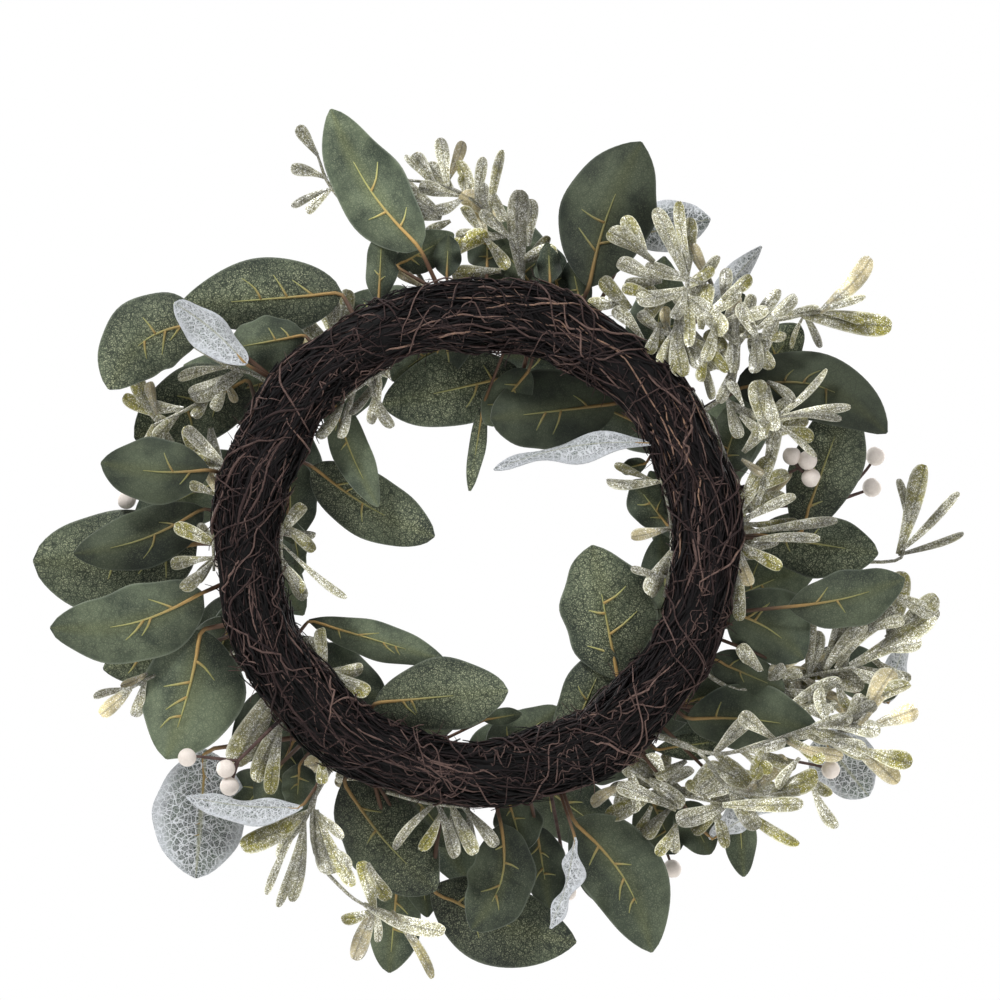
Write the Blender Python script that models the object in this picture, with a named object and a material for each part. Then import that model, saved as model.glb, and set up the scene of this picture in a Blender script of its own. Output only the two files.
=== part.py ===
"""Frosted mistletoe wreath: a twig ring that carries leafy sprays, mistletoe sprigs and berries.

The wreath hangs upright in the XZ plane. The door side of the ring faces -Y and the decorated
side faces +Y. The origin is where a door hook carries the ring, at the inner top of the ring.
Places are given in millimetres from the ring's centre: x to the right and z up as seen from the
door side, and y as depth towards the decorated side. Angles are in degrees.
"""

import math

import bmesh
import bpy
from mathutils import Matrix, Quaternion, Vector

MM = 0.001

RING_RADIUS = 131.0  # centre line of the twig ring
TUBE_RADIUS = 20.0  # half the thickness of the bundle of twigs
RING_STATIONS = 66
TUBE_STATIONS = 12
STRANDS = 4  # ridges of twigs round the bundle
STRAND_RELIEF = 1.3
STRAND_TURNS = 4  # times that the ridges wind round the bundle in one lap
BACK_FLAT = 18.0  # the door side is pressed flat here
FLAT_LANES = (240, 300)
HANG_DROP = RING_RADIUS - TUBE_RADIUS  # ring centre below the hook

LANE = 26.5  # stems lie along the ring this far from its centre line
ROOT_SINK = 12.0  # how near a root comes to the centre line of the bundle
ROOT_SIDES = 4
ROOT_GAP = 0.35  # clearance of a root in its hole
STEM_RADIUS = 1.8
STALK_RADIUS = 0.8
STALK_INSET = 0.06  # share of a stem that stays bare at its ends
LEAF_STATIONS = (0, 0.17, 0.5, 0.83, 1)
SMALL_LEAF_WIDTH = 30  # a leaf no wider has fewer stations
SMALL_LEAF_STATIONS = (0, 0.3, 0.72, 1)
TWIG_RADIUS = 1.4
BERRY_STEM_RADIUS = 1.1
BERRY_RADIUS = 5.6
LEAF_THICKNESS = 1.4  # at the midrib
LEAF_CUP = 0.09  # how far a leaf's edges rise, as a share of its width
LEAF_ARCH = 0.05  # how far its middle rises, as a share of its length
LEAF_ROUNDNESS = 0.7
LEAF_FULLNESS = 0.95  # under 1 the leaf is widest past its middle
SPOON_THICKNESS = 1.6
MOST_SCRAP_POINTS = 14
SPOON_STATIONS = ((0, 0.1, 0.4), (0.66, 1, 1), (1, 0.4, 0.6))  # share of length, width, thickness

OUTER, FRONT, INNER, OUTER_BACK, INNER_BACK = 30.0, 90.0, 150.0, -5.0, 184.0

FRONT_GROUPS = 6
FRONT_START = 10.0  # ring angle of the first leaf of the first group
FRONT_LEAVES = 4
FRONT_LEAF_STEP = 14.0
FRONT_LEAF_RISE = 30.0
FRONT_LEAF_LIFT = 6.0  # of a blade's root above its stem, and ahead along it
OUTWARD_LEAF = (44.0, 80.0, 40.0)  # lean away from the ring's run, length, width
INWARD_LEAF = (-38.0, 62.0, 34.0)
FRONT_SPOONS = 10
FRONT_SPOON_WIDTH = 10.0
FRONT_SPOON_SPREADS = ((40.0, -6.0), (30.0, 8.0))  # out from the sprig's top, and past it
FRONT_SPRIG_ANGLE = 6.0
FRONT_SPRIG_LANE = 83.0
FRONT_SPRIG_REACH = 84.0
FRONT_BERRIES = 3
FRONT_BERRY_SPREAD = 7.4


# Broad leaves: blade root (x, y, z), tip (x, y, z), width, and roll about the midrib.
# Each spray: name, lane, the angle of its root, the stretch of lane its stem runs along, leaves.
LEAF_SPRAYS = [
    ("leaf_spray_top_left", OUTER, 112, (104, 120), [
        ((-77, 18, 143), (-170, 24, 135), 42, 0),
        ((-56, 13, 146), (-52, 14, 177), 26, 0),
    ]),
    ("leaf_spray_left_high", OUTER, 134, (125, 142), [
        ((-98, 12, 124), (-152, 6, 117), 36, 0),
        ((-132, -6, 101), (-172, -8, 136), 24, 50),
        ((-152, 8, 117), (-217, 12, 110), 44, 0),
    ]),
    ("leaf_spray_left", OUTER, 158, (148, 166), [
        ((-134, 32, 86), (-195, 36, 62), 42, 0),
        ((-152, 0, 42), (-214, -4, 46), 38, 0),
    ]),
    ("leaf_spray_left_low", OUTER, 182, (172, 190), [
        ((-160, 27, -5), (-254, 31, -13), 52, 0),
        ((-156, 13, 20), (-230, 12, -6), 34, 0),
        ((-156, 1, -28), (-243, -1, -47), 42, 0),
    ]),
    ("leaf_spray_lower_left", OUTER, 207, (197, 219), [
        ((-155, 10, -52), (-180, 7, -120), 54, 0),
        ((-160, 34, -62), (-208, 37, -80), 34, 0),
    ]),
    ("leaf_spray_bottom_left", OUTER, 238, (228, 247), [
        ((-108, -10, -147), (-162, -10, -144), 20, 45),
        ((-101, 17, -126), (-103, 18, -153), 20, 0),
        ((-147, 36, -121), (-163, 38, -190), 50, 0),
        ((-118, 42, -132), (-138, 44, -158), 34, 0),
        ((-73, 11, -136), (-22, 9, -197), 46, 0),
        ((-45, 32, -190), (-50, 34, -245.5), 30, 0),
    ]),
    ("leaf_spray_bottom", OUTER, 268, (259, 275), [
        ((14, 8, -160), (-3, 4, -220), 38, 0),
        ((-22, 20, -197), (57, 21, -227), 38, 0),
    ]),
    ("leaf_spray_bottom_right", OUTER, 288, (281, 292), [
        ((54, 3, -160), (97, -1, -230), 42, 0),
        ((36, 26, -158), (50, 29, -195), 26, 0),
        ((56, -12, -167), (42, -12, -219), 14, 50),
        ((55, 14, -164), (68, 16, -204), 14, 0),
    ]),
    ("leaf_spray_low_right", OUTER, 315, (306, 322), [
        ((120, 8, -100), (195, 6, -107), 38, 0),
        ((112, 30, -148), (126, 31, -186), 32, 0),
        ((142, 33, -146), (153, 34, -190), 22, 0),
        ((134, 25, -160), (172, 24, -152), 20, 50),
        ((194, 42, -112), (216, 44, -145), 32, 0),
    ]),
    ("leaf_spray_right_low", OUTER, 337, (330, 345), [
        ((144, 8, -55), (189, 7, -50), 38, 0),
        ((178, 2, -37), (243, -1, -21), 30, 0),
        ((196, 34, -62), (240, 36, -88), 28, 0),
        ((214, 46, -84), (250, 47, -54), 22, 0),
    ]),
    ("leaf_spray_right", OUTER, 2, (-5, 8), [
        ((180, 20, 6), (205, 17, 88), 36, 0),
        ((162, 31, 5), (230, 33, -6), 38, 0),
    ]),
    ("leaf_spray_right_high", OUTER, 33, (26, 50), [
        ((152, 5, 84), (233, 2, 76), 46, 0),
        ((148, 19, 102), (189, 21, 118), 32, 0),
        ((136, 26, 137), (163, 28, 167), 22, 0),
        ((132, 36, 128), (157, 37, 144), 16, 0),
    ]),
    ("leaf_spray_top_right", OUTER, 66, (60, 74), [
        ((66, 6, 144), (92, 2, 228), 50, 0),
        ((46, 22, 150), (38, 24, 182), 20, 0),
        ((90, 34, 170), (133, 36, 188), 26, 0),
        ((42, 12, 149), (41, 13, 170), 14, 0),
    ]),
    ("leaf_spray_top", OUTER, 94, (86, 99), [
        ((-20, 3, 156), (-81, -2, 247.5), 38, 0),
        ((-17, 12, 158), (-15, 14, 187), 16, 0),
        ((-28, 17, 157), (-57, 19, 177), 18, 0),
        ((6, 30, 157), (6, 37, 180), 24, 0),
    ]),
    ("leaf_spray_inner_left", INNER, 150, (127, 160), [
        ((-64, 6, 80), (-48, 1, 19), 27, 0),
        ((-88, 18, 44), (-26, 16, 4), 30, 0),
        ((-97, 32, 22), (-71, 33, -37), 16, 62),
    ]),
    ("leaf_spray_inner_top", INNER, 76, (68, 82), [
        ((16, 17, 82), (-2, 18, 31), 15, 55),
        ((26, 24, 98), (-52, 22, 76), 42, 0),
        ((30, 14, 99), (5, 11, 68), 25, 0),
    ]),
    ("leaf_spray_inner_right", INNER, 38, (27, 50), [
        ((80, 20, 80), (8, 1, 71), 46, 0),
        ((93, -10, 52), (10, -9, 41), 20, 50),
        ((97, 10, 46), (82, 8, 42), 10, 0),
    ]),
    ("leaf_spray_inner_low_right", INNER, -32, (-60, 10), [
        ((84, 20, -76), (68, 3, -1), 50, 0),
        ((106, 11, 17), (86, 8, 32), 28, 0),
    ]),
    ("leaf_spray_inner_low", 100, 302, (298, 304), [
        ((61, 27, -106), (51, 17, -74), 44, 0),
    ]),
    ("leaf_spray_inner_low_left", INNER, 228, (204, 262), [
        ((-58, 6, -91), (18, 2, -84), 42, 0),
        ((-96, 18, -40), (-18, 15, -65), 25, 0),
        ((-92, 29, -56), (-66, 28, -88), 26, 0),
        ((4, 13, -101), (26, 12, -97), 10, 0),
    ]),
]

# Mistletoe sprigs: name, lane, root angle, stretch of lane, stems (lane angle, points),
# leaves (base x, base z, tip x, tip y, tip z, width).
SPRIGS = [
    ("mistletoe_left", 60, 142, None, [
        (142, [(-136, 23, 99), (-160, 23, 82), (-185, 23, 68), (-192, 24, 55)]),
    ], [
        (-180, 72, -196, 20, 94, 10), (-150, 88, -165, 19, 96, 11), (-136, 99, -163, 24, 113, 8),
        (-192, 55, -190, 22, 41, 8), (-185, 68, -207, 23, 66, 8), (-160, 82, -172, 23, 62, 9),
       
    ]),
    ("mistletoe_left_low", OUTER_BACK, 172, (162, 186), [], [
        (-150, 46, -166, -8, 66, 8), (-155, 0, -172, -10, 10, 9), (-155, -8, -174, -9, -12, 8),
        (-155, -10, -168, -10, -26, 9), (-153, 28, -163, -10, 34, 7),
    ]),
    ("mistletoe_lower_left", 60, 205, None, [
        (205, [(-150, 22, -66), (-180, 22, -74), (-200, 21, -84)]),
    ], [
        (-200, -84, -222, 20, -88, 9), (-200, -84, -216, 18, -97, 8), (-190, -78, -197, 20, -97, 8),
        
    ]),
    ("mistletoe_top", 62, 86, (79, 100), [
        (79, [(26, 24, 156), (18, 24, 176), (0, 25, 195), (-20, 25, 205), (-42, 26, 208)]),
        (100, [(-36, 27, 158), (-62, 28, 182), (-83, 27, 203), (-91, 27, 222)]),
    ], [
        (26, 156, 25, 18, 200, 12), (-26, 206, -41, 25, 222, 8), (-42, 208, -58, 26, 212, 8),
        (-20, 205, -21, 24, 231, 9), (-6, 200, -7, 23, 218, 8), (0, 195, 7, 23, 221, 9),
        (8, 188, 17, 23, 224, 8), (24, 160, 46, 22, 170, 10), (18, 176, -12, 24, 176, 9),
        (-20, 205, -36, 22, 190, 8), (18, 176, 2, 21, 190, 8),
        (-91, 222, -101, 26, 237, 8), (-89, 215, -107, 26, 214, 8), (-83, 203, -105, 27, 194, 8),
        (-91, 222, -86, 25, 238, 6), (-86, 210, -72, 26, 218, 7),
    ]),
    ("mistletoe_top_right", OUTER_BACK, 42, (18, 52), [
        (46, [(113, -6, 122), (120, -8, 150)]),
        (30, [(143, -6, 86), (148, -8, 100), (150, -8, 118)]),
    ], [
        (118, 146, 77, -12, 176, 12), (120, 150, 116, -6, 196, 7), (118, 150, 101, -4, 191, 10),
        (98, 124, 70, -9, 148, 9), (120, 150, 133, -8, 172, 8), (112, 120, 90, -10, 142, 9),
        (150, 118, 150, -9, 138, 12), (148, 106, 132, -9, 124, 10),
        (143, 86, 128, -8, 106, 11), (143, 86, 144, -12, 108, 11), (148, 70, 171, -10, 92, 9),
        (150, 60, 210, -9, 75, 6), (148, 66, 213, -9, 84, 6), (151, 52, 166, -9, 70, 9),
        (150, 118, 164, -8, 132, 8), (151, 48, 164, -6, 40, 9),
        (108, 110, 92, -10, 126, 8),
    ]),
    ("mistletoe_far_right", 14, 42, None, [
        (42, [(140, 10, 120), (163, 10, 126), (200, 10, 132)]),
    ], [
        (200, 132, 226, 9, 161, 10), (200, 132, 216, 8, 146, 6), (195, 131, 236, 11, 123, 11),
        (163, 126, 182, 9, 141, 8), (188, 130, 198, 11, 114, 8), 
        (150, 123, 158, 8, 142, 8),
    ]),
    ("mistletoe_right_near", 10, 3, (-14, 17), [], [
        (155, 6, 206, 5, 15, 6), (152, -16, 156, 1, -44, 8), (150, 40, 172, 2, 52, 9),
        (153, 22, 176, 0, 40, 10), (155, 0, 176, 3, -12, 8), (154, 14, 182, 1, 27, 7),
    ]),
    ("mistletoe_right", 70, -4, None, [
        (-4, [(166, 44, -8), (205, 46, -10), (240, 46, -10), (247, 46, 10), (252, 46, 32)]),
    ], [
        (242, -6, 259, 44, 28, 12), (249, 14, 277, 45, 29, 5), (240, -10, 281, 45, 6, 5),
        (252, 32, 254, 46, 46, 6), (247, 10, 234, 45, 34, 7), (240, -10, 262, 47, -18, 6),
        
    ]),
    ("mistletoe_right_low", 48, -29, None, [
        (-29, [(150, 19, -84), (186, 19, -76), (222, 18, -68), (238, 18, -50)]),
    ], [
        (222, -68, 266, 16, -37, 13), (238, -50, 254, 17, -26, 10), (190, -75, 196, 17, -52, 8),
        (232, -58, 250, 20, -68, 8), (222, -68, 236, 18, -84, 9), 
        (176, -78, 190, 20, -96, 8), (238, -50, 226, 17, -32, 7),
    ]),
    ("mistletoe_lower_right", OUTER_BACK, -48, None, [
        (-48, [(126, -6, -118), (150, -7, -118), (200, -7, -102), (224, -7, -106)]),
        (-48, [(126, -6, -118), (142, -8, -138), (162, -8, -143), (184, -8, -140)]),
    ], [
        (172, -112, 149, -12, -98, 14), (224, -106, 242, -8, -76, 12), (224, -106, 252, -8, -98, 12),
        (212, -104, 248, -6, -124, 10), (208, -104, 220, -9, -88, 8), (162, -143, 194, -11, -132, 10),
        (150, -140, 186, -10, -149, 9), (184, -140, 207, -8, -160, 7), (184, -140, 214, -9, -140, 8),
        (150, -118, 168, -10, -130, 9), (136, -118, 126, -8, -99, 8),
        (200, -102, 196, -8, -82, 8), 
    ]),
    ("mistletoe_bottom_right", 35, -58, (-64, -56), [
        (-58, [(106, 15, -140), (142, 16, -149)]),
    ], [
        (142, -149, 113, 12, -160, 15), (106, -140, 124, 13, -129, 9), (142, -149, 160, 16, -158, 8),
        (64, -140, 80, 11, -178, 9), (84, -131, 90, 12, -154, 10), (122, -144, 138, 15, -132, 8),
        (142, -149, 156, 14, -140, 8),
    ]),
    ("mistletoe_bottom", OUTER_BACK, -99, (-110, -92), [], [
        (-50, -148, -46, -7, -174, 7), (-20, -154, -12, -9, -180, 9), (-10, -155, -2, -8, -178, 8),
        (-30, -152, -29, -8, -172, 8),
    ]),
    ("mistletoe_bottom_left", OUTER_BACK, 237, None, [
        (237, [(-92, -3, -144), (-99, -4, -160), (-112, -4, -176)]),
        (237, [(-92, -3, -144), (-92, -4, -176), (-74, -4, -199), (-58, -4, -209)]),
    ], [
        (-99, -160, -136, -6, -173, 12), (-102, -164, -124, -5, -190, 7), (-112, -176, -119, -4, -199, 9),
        (-106, -169, -112, -7, -206, 6), (-92, -165, -85, -8, -190, 10), (-84, -187, -66, -7, -184, 7),
        (-92, -150, -70, -7, -166, 8), (-88, -133, -70, -6, -139, 8), (-58, -209, -18, -6, -221, 9),
        (-64, -205, -68, -6, -182, 8), (-58, -209, -77, -5, -214, 8), (-58, -209, -74, -4, -236, 10),
        (-58, -209, -56, -5, -229, 8), (-50, -209, -24, -5, -249, 5), (-84, -187, -103, -5, -196, 6),
    ]),
    ("mistletoe_inner_top_left", INNER_BACK, 124, (118, 134), [], [
        (-52, 92, -60, -7, 68, 7), (-58, 88, -48, -7, 66, 7), (-72, 76, -90, -8, 60, 7),
        (-66, 82, -78, -7, 60, 7),
    ]),
    ("mistletoe_inner_left", INNER_BACK, 182, (174, 190), [], [
        (-105, -8, -98, -6, -32, 9), (-105, 0, -82, -5, -24, 6), (-105, 6, -98, -6, 22, 8),
        (-104, -16, -84, -7, -34, 8),
    ]),
    ("mistletoe_inner_low_left", INNER_BACK, 222, (216, 228), [], [
        (-80, -70, -58, -7, -84, 11), (-82, -66, -88, -7, -48, 8), (-74, -76, -62, -8, -70, 8),
    ]),
    ("mistletoe_inner_right", INNER_BACK, 358, (-16, 20), [], [
        (100, 34, 74, -8, 36, 7), (104, -4, 99, -8, -30, 12), (103, -18, 88, -6, -14, 5),
        (104, 8, 88, -7, 4, 8),
    ]),
]

# Berry clusters: name, lane, root angle, stems as lists of points, berry centres.
BERRIES = [
    ("berries_right", 22, 12, [
        [(168, 15, 36), (184, 14, 43)], [(184, 14, 43), (180, 12, 49)], [(184, 14, 43), (189, 12, 47)],
        [(184, 14, 43), (190, 15, 38)],
    ], [(180, 12, 50), (189, 12, 47.5), (191, 15, 37.5)]),
    ("berries_far_right", 72, 8, [
        [(186, 52, 22), (206, 54, 24), (222, 54, 40), (228, 54, 48)], [(206, 54, 24), (226, 54, 31)],
    ], [(229, 54, 50), (227, 54, 32)]),
    ("berries_left", 75, 168, [[(-170, 46, 30), (-200, 48, 25)]], [(-201, 48, 25)]),
    ("berries_lower_left", 8, 222, [
        [(-136, 6, -124), (-141, 6, -129)], [(-136, 6, -124), (-140, 6, -137)],
        [(-136, 6, -124), (-163, 3, -121)],
    ], [(-143, 5, -128.5), (-141, 7, -138.5), (-165, 2, -122)]),
    ("berries_lower_right", 66, -39, [[(160, 26, -118), (201, 22, -130)]], [(202, 22, -130)]),
    ("berries_bottom_right", 75, -56, [
        [(104, 46, -166), (112, 48, -185)], [(104, 46, -166), (124, 47, -171)],
    ], [(112, 48, -187), (126, 47, -172)]),
    ("berries_bottom", 75, -73, [[(48, 42, -172), (52, 44, -198)]], [(52, 44, -200)]),
]


def clear_scene():
    for obj in list(bpy.data.objects):
        bpy.data.objects.remove(obj, do_unlink=True)


def make_material(name, color, roughness, metallic=0.0):
    material = bpy.data.materials.new(name)
    material.use_nodes = True
    shader = material.node_tree.nodes["Principled BSDF"]
    shader.inputs["Base Color"].default_value = (*color, 1)
    shader.inputs["Roughness"].default_value = roughness
    shader.inputs["Metallic"].default_value = metallic
    return material


def add_mesh(name, points, faces, material=None):
    """A mesh object from points in millimetres from the ring's centre."""
    mesh = bpy.data.meshes.new(name)
    offset = Vector((0, 0, -HANG_DROP))
    mesh.from_pydata([(Vector(p) + offset) * MM for p in points], [], faces)
    shell = bmesh.new()
    shell.from_mesh(mesh)
    bmesh.ops.recalc_face_normals(shell, faces=shell.faces)
    shell.to_mesh(mesh)
    shell.free()
    obj = bpy.data.objects.new(name, mesh)
    bpy.context.scene.collection.objects.link(obj)
    if material:
        mesh.materials.append(material)
    return obj


def lane_point(angle, lane, reach=LANE):
    """The point at an angle round the ring and an angle round its bundle of twigs."""
    around, tilt = math.radians(angle), math.radians(lane)
    radius = RING_RADIUS + reach * math.cos(tilt)
    return Vector((radius * math.cos(around), reach * math.sin(tilt), radius * math.sin(around)))


def loft(name, rings, material=None):
    """A closed body through rings of points, with its two faces split into like triangles."""
    count = len(rings[0])
    points = [point for ring in rings for point in ring]
    faces = [tuple(range(count)), tuple(range(len(points) - count, len(points)))]
    for start in range(0, len(points) - count, count):
        for i in range(count):
            a, b = start + i, start + (i + 1) % count
            if i % 2:
                faces += [(a, b, a + count), (b, b + count, a + count)]
            else:
                faces += [(a, b, b + count), (a, b + count, a + count)]
    return add_mesh(name, points, faces, material)


def tube(name, path, radius, sides=4, taper=1.0):
    """A closed tube along a path, narrowing to a share of its radius."""
    path = [Vector(p) for p in path]
    rings = []
    side = None
    for i, point in enumerate(path):
        before = (point - path[i - 1]).normalized() if i else Vector()
        after = (path[i + 1] - point).normalized() if i + 1 < len(path) else Vector()
        along = (before + after).normalized()
        if side is None:
            side = along.orthogonal()
        side = (side - along * side.dot(along)).normalized()
        other = along.cross(side)
        size = radius * (1 + (taper - 1) * i / (len(path) - 1))
        turns = [2 * math.pi * k / sides for k in range(sides)]
        rings.append([point + (side * math.cos(t) + other * math.sin(t)) * size for t in turns])
    return loft(name, rings)


def blade_frame(root, tip, roll):
    """Directions along a leaf, across it, and out of its face, towards +Y when it is not rolled."""
    along = (tip - root).normalized()
    across = along.cross(Vector((0, 1, 0))).normalized()
    across = Matrix.Rotation(math.radians(roll), 3, along) @ across
    face = across.cross(along)
    return along, across, face if face.y >= 0 else -face


def leaf_section(middle, across, face, half, rib, cup):
    """Four points round a blade: its two edges, and the rib on its face and under it."""
    left, right = middle - across * half, middle + across * half
    return [left + face * cup, middle + face * rib, right + face * cup, middle - face * rib]


def broad_leaf(start, root, tip, width, roll):
    """A cupped blade with its stalk, from the stem to the tip in one piece."""
    root, tip = Vector(root), Vector(tip)
    along, across, face = blade_frame(root, tip, roll)
    length = (tip - root).length
    turn = along.rotation_difference((root - start).normalized())
    rings = [leaf_section(start, turn @ across, turn @ face, STALK_RADIUS, STALK_RADIUS, 0)]
    for share in LEAF_STATIONS if width > SMALL_LEAF_WIDTH else SMALL_LEAF_STATIONS:
        swell = max(math.sin(math.pi * share**LEAF_FULLNESS), 0) ** LEAF_ROUNDNESS
        half = max(width / 2 * swell, STALK_RADIUS * 1.3)
        arch = length * LEAF_ARCH * math.sin(math.pi * share)
        cup = LEAF_CUP * width * (half * 2 / width) ** 2
        middle = root + along * length * share + face * arch
        lean = Quaternion().slerp(turn, 0.5) if share == 0 else Quaternion()
        rings.append(leaf_section(middle, lean @ across, lean @ face, half, LEAF_THICKNESS / 2, cup))
    return loft("leaf", rings)


def spoon_leaf(base, tip, width):
    """A narrow mistletoe leaf with a ridge under it, widest near its round end."""
    base, tip = Vector(base), Vector(tip)
    along, across, face = blade_frame(base, tip, 0)
    length = (tip - base).length
    rings = []
    for share, part, depth in SPOON_STATIONS:
        half = width / 2 * part
        sag = length * LEAF_ARCH * math.sin(math.pi * share)
        middle = base + along * length * share + face * sag
        ridge = middle - face * SPOON_THICKNESS * depth
        rings.append([middle - across * half, ridge, middle + across * half])
    return loft("spoon", rings)


def lane_path(angles, lane, step=10.0):
    first, last = angles
    count = max(1, round(abs(last - first) / step))
    return [lane_point(first + (last - first) * i / count, lane) for i in range(count + 1)]


def along_path(path, share):
    """The point at a share of the way along a path of even steps."""
    place = share * (len(path) - 1)
    step = min(int(place), len(path) - 2)
    return path[step].lerp(path[step + 1], place - step)


def root_path(angle, lane):
    return [lane_point(angle, lane, ROOT_SINK), lane_point(angle, lane, LANE + 0.5)]


def drop_scraps(mesh):
    """Keeps the largest body of a mesh, where a union has left slivers beside it."""
    shell = bmesh.new()
    shell.from_mesh(mesh)
    left, bodies = set(shell.verts), []
    while left:
        body, edge = set(), [left.pop()]
        while edge:
            vert = edge.pop()
            body.add(vert)
            near = {e.other_vert(vert) for e in vert.link_edges} & left
            left -= near
            edge.extend(near)
        bodies.append(body)
    bodies.sort(key=len)
    scraps = [vert for body in bodies[:-1] for vert in body]
    if len(scraps) > MOST_SCRAP_POINTS:
        raise ValueError(f"{mesh.name}: {len(scraps)} points hang apart from the rest")
    bmesh.ops.delete(shell, geom=scraps, context="VERTS")
    shell.to_mesh(mesh)
    shell.free()


def fuse(name, pieces, material):
    """Joins pieces into one closed body with one Boolean union."""
    base, *others = pieces
    group = bpy.data.collections.new(name + "_pieces")
    bpy.context.scene.collection.children.link(group)
    for piece in others:
        bpy.context.scene.collection.objects.unlink(piece)
        group.objects.link(piece)
    union = base.modifiers.new("union", "BOOLEAN")
    union.operation = "UNION"
    union.operand_type = "COLLECTION"
    union.collection = group
    graph = bpy.context.evaluated_depsgraph_get()
    joined = bpy.data.meshes.new_from_object(base.evaluated_get(graph))
    base.modifiers.remove(union)
    base.data = joined
    for piece in others:
        bpy.data.objects.remove(piece, do_unlink=True)
    bpy.data.collections.remove(group)
    base.name = joined.name = name
    drop_scraps(joined)
    joined.materials.clear()
    joined.materials.append(material)
    return base


def leaf_spray(name, lane, root, stretch, leaves, material):
    path = lane_path(stretch, lane)
    pieces = [tube("root", root_path(root, lane), STEM_RADIUS, ROOT_SIDES)]
    pieces.append(tube("stem", path, STEM_RADIUS, 3))
    for blade_root, tip, width, roll in leaves:
        angle = math.degrees(math.atan2(blade_root[2], blade_root[0]))
        middle = sum(stretch) / 2
        angle = middle + (angle - middle + 180) % 360 - 180
        share = (angle - stretch[0]) / (stretch[1] - stretch[0])
        start = along_path(path, min(max(share, STALK_INSET), 1 - STALK_INSET))
        pieces.append(broad_leaf(start, blade_root, tip, width, roll))
    return fuse(name, pieces, material)


def nearest_on(paths, x, z):
    """The point nearest to (x, z) on some stems, seen from the door side."""
    best, found = 1e9, None
    for path in paths:
        for a, b in zip(path, path[1:]):
            run = Vector((b.x - a.x, b.z - a.z))
            share = (Vector((x - a.x, z - a.z)).dot(run)) / max(run.length_squared, 1e-9)
            point = a.lerp(b, min(max(share, 0), 1))
            distance = math.hypot(point.x - x, point.z - z)
            if distance < best:
                best, found = distance, point
    return found


def sprig(name, lane, root, stretch, stems, leaves, material):
    paths = [lane_path(stretch, lane)] if stretch else []
    for angle, points in stems:
        paths.append([lane_point(angle, lane)] + [Vector(p) for p in points])
    pieces = [tube("root", root_path(root, lane), TWIG_RADIUS, ROOT_SIDES)]
    pieces += [tube("stem", path, TWIG_RADIUS, 3, 0.8) for path in paths]
    for x, z, tip_x, tip_y, tip_z, width in leaves:
        pieces.append(spoon_leaf(nearest_on(paths, x, z), (tip_x, tip_y, tip_z), width))
    return fuse(name, pieces, material)


def berry(centre, radius=BERRY_RADIUS):
    ball = bmesh.new()
    bmesh.ops.create_uvsphere(ball, u_segments=6, v_segments=4, radius=radius)
    points = [v.co + Vector(centre) for v in ball.verts]
    faces = [[v.index for v in f.verts] for f in ball.faces]
    ball.free()
    return add_mesh("berry", points, faces)


def berry_cluster(name, lane, root, stems, centres, material):
    pieces = [tube("root", root_path(root, lane), BERRY_STEM_RADIUS, ROOT_SIDES)]
    start = lane_point(root, lane)
    for i, points in enumerate(stems):
        path = points if i else [start] + points
        pieces.append(tube("stem", path, BERRY_STEM_RADIUS, 3))
    pieces += [berry(centre) for centre in centres]
    return fuse(name, pieces, material)


def ring_surface(angle, lane):
    """Half the thickness of the bundle in one direction, with its winding ridges."""
    ridge = math.cos(STRANDS * math.radians(lane) + STRAND_TURNS * math.radians(angle))
    thick = 0.5 * math.sin(math.radians(3 * angle + 40))
    wander = 0.4 * math.sin(math.radians(7 * angle - 2 * lane))
    return TUBE_RADIUS + STRAND_RELIEF * ridge + thick + wander


def twig_ring(material):
    points, faces = [], []
    for i in range(RING_STATIONS):
        angle = 360 * i / RING_STATIONS
        for k in range(TUBE_STATIONS):
            lane = 360 * k / TUBE_STATIONS
            point = lane_point(angle, lane, ring_surface(angle, lane))
            if FLAT_LANES[0] <= lane <= FLAT_LANES[1]:
                point.y = -BACK_FLAT
            points.append(point)
    for i in range(RING_STATIONS):
        for k in range(TUBE_STATIONS):
            a = i * TUBE_STATIONS + k
            b = i * TUBE_STATIONS + (k + 1) % TUBE_STATIONS
            c = (i + 1) % RING_STATIONS * TUBE_STATIONS + (k + 1) % TUBE_STATIONS
            d = (i + 1) % RING_STATIONS * TUBE_STATIONS + k
            faces += [(a, b, c), (a, c, d)]
    return add_mesh("twig_ring", points, faces, material)


def cut_holes(ring, roots):
    """Plain holes in the ring, one for each root that stands in it."""
    group = bpy.data.collections.new("holes")
    bpy.context.scene.collection.children.link(group)
    for angle, lane, radius in roots:
        start, end = root_path(angle, lane)
        along = (end - start).normalized()
        wide = radius + ROOT_GAP / math.cos(math.pi / ROOT_SIDES)
        hole = tube("hole", [start - along * ROOT_GAP, end + along * 4], wide, ROOT_SIDES)
        bpy.context.scene.collection.objects.unlink(hole)
        group.objects.link(hole)
    cut = ring.modifiers.new("holes", "BOOLEAN")
    cut.operation = "DIFFERENCE"
    cut.operand_type = "COLLECTION"
    cut.collection = group
    graph = bpy.context.evaluated_depsgraph_get()
    drilled = bpy.data.meshes.new_from_object(ring.evaluated_get(graph))
    ring.modifiers.remove(cut)
    ring.data = drilled
    for hole in list(group.objects):
        bpy.data.objects.remove(hole, do_unlink=True)
    bpy.data.collections.remove(group)


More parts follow.
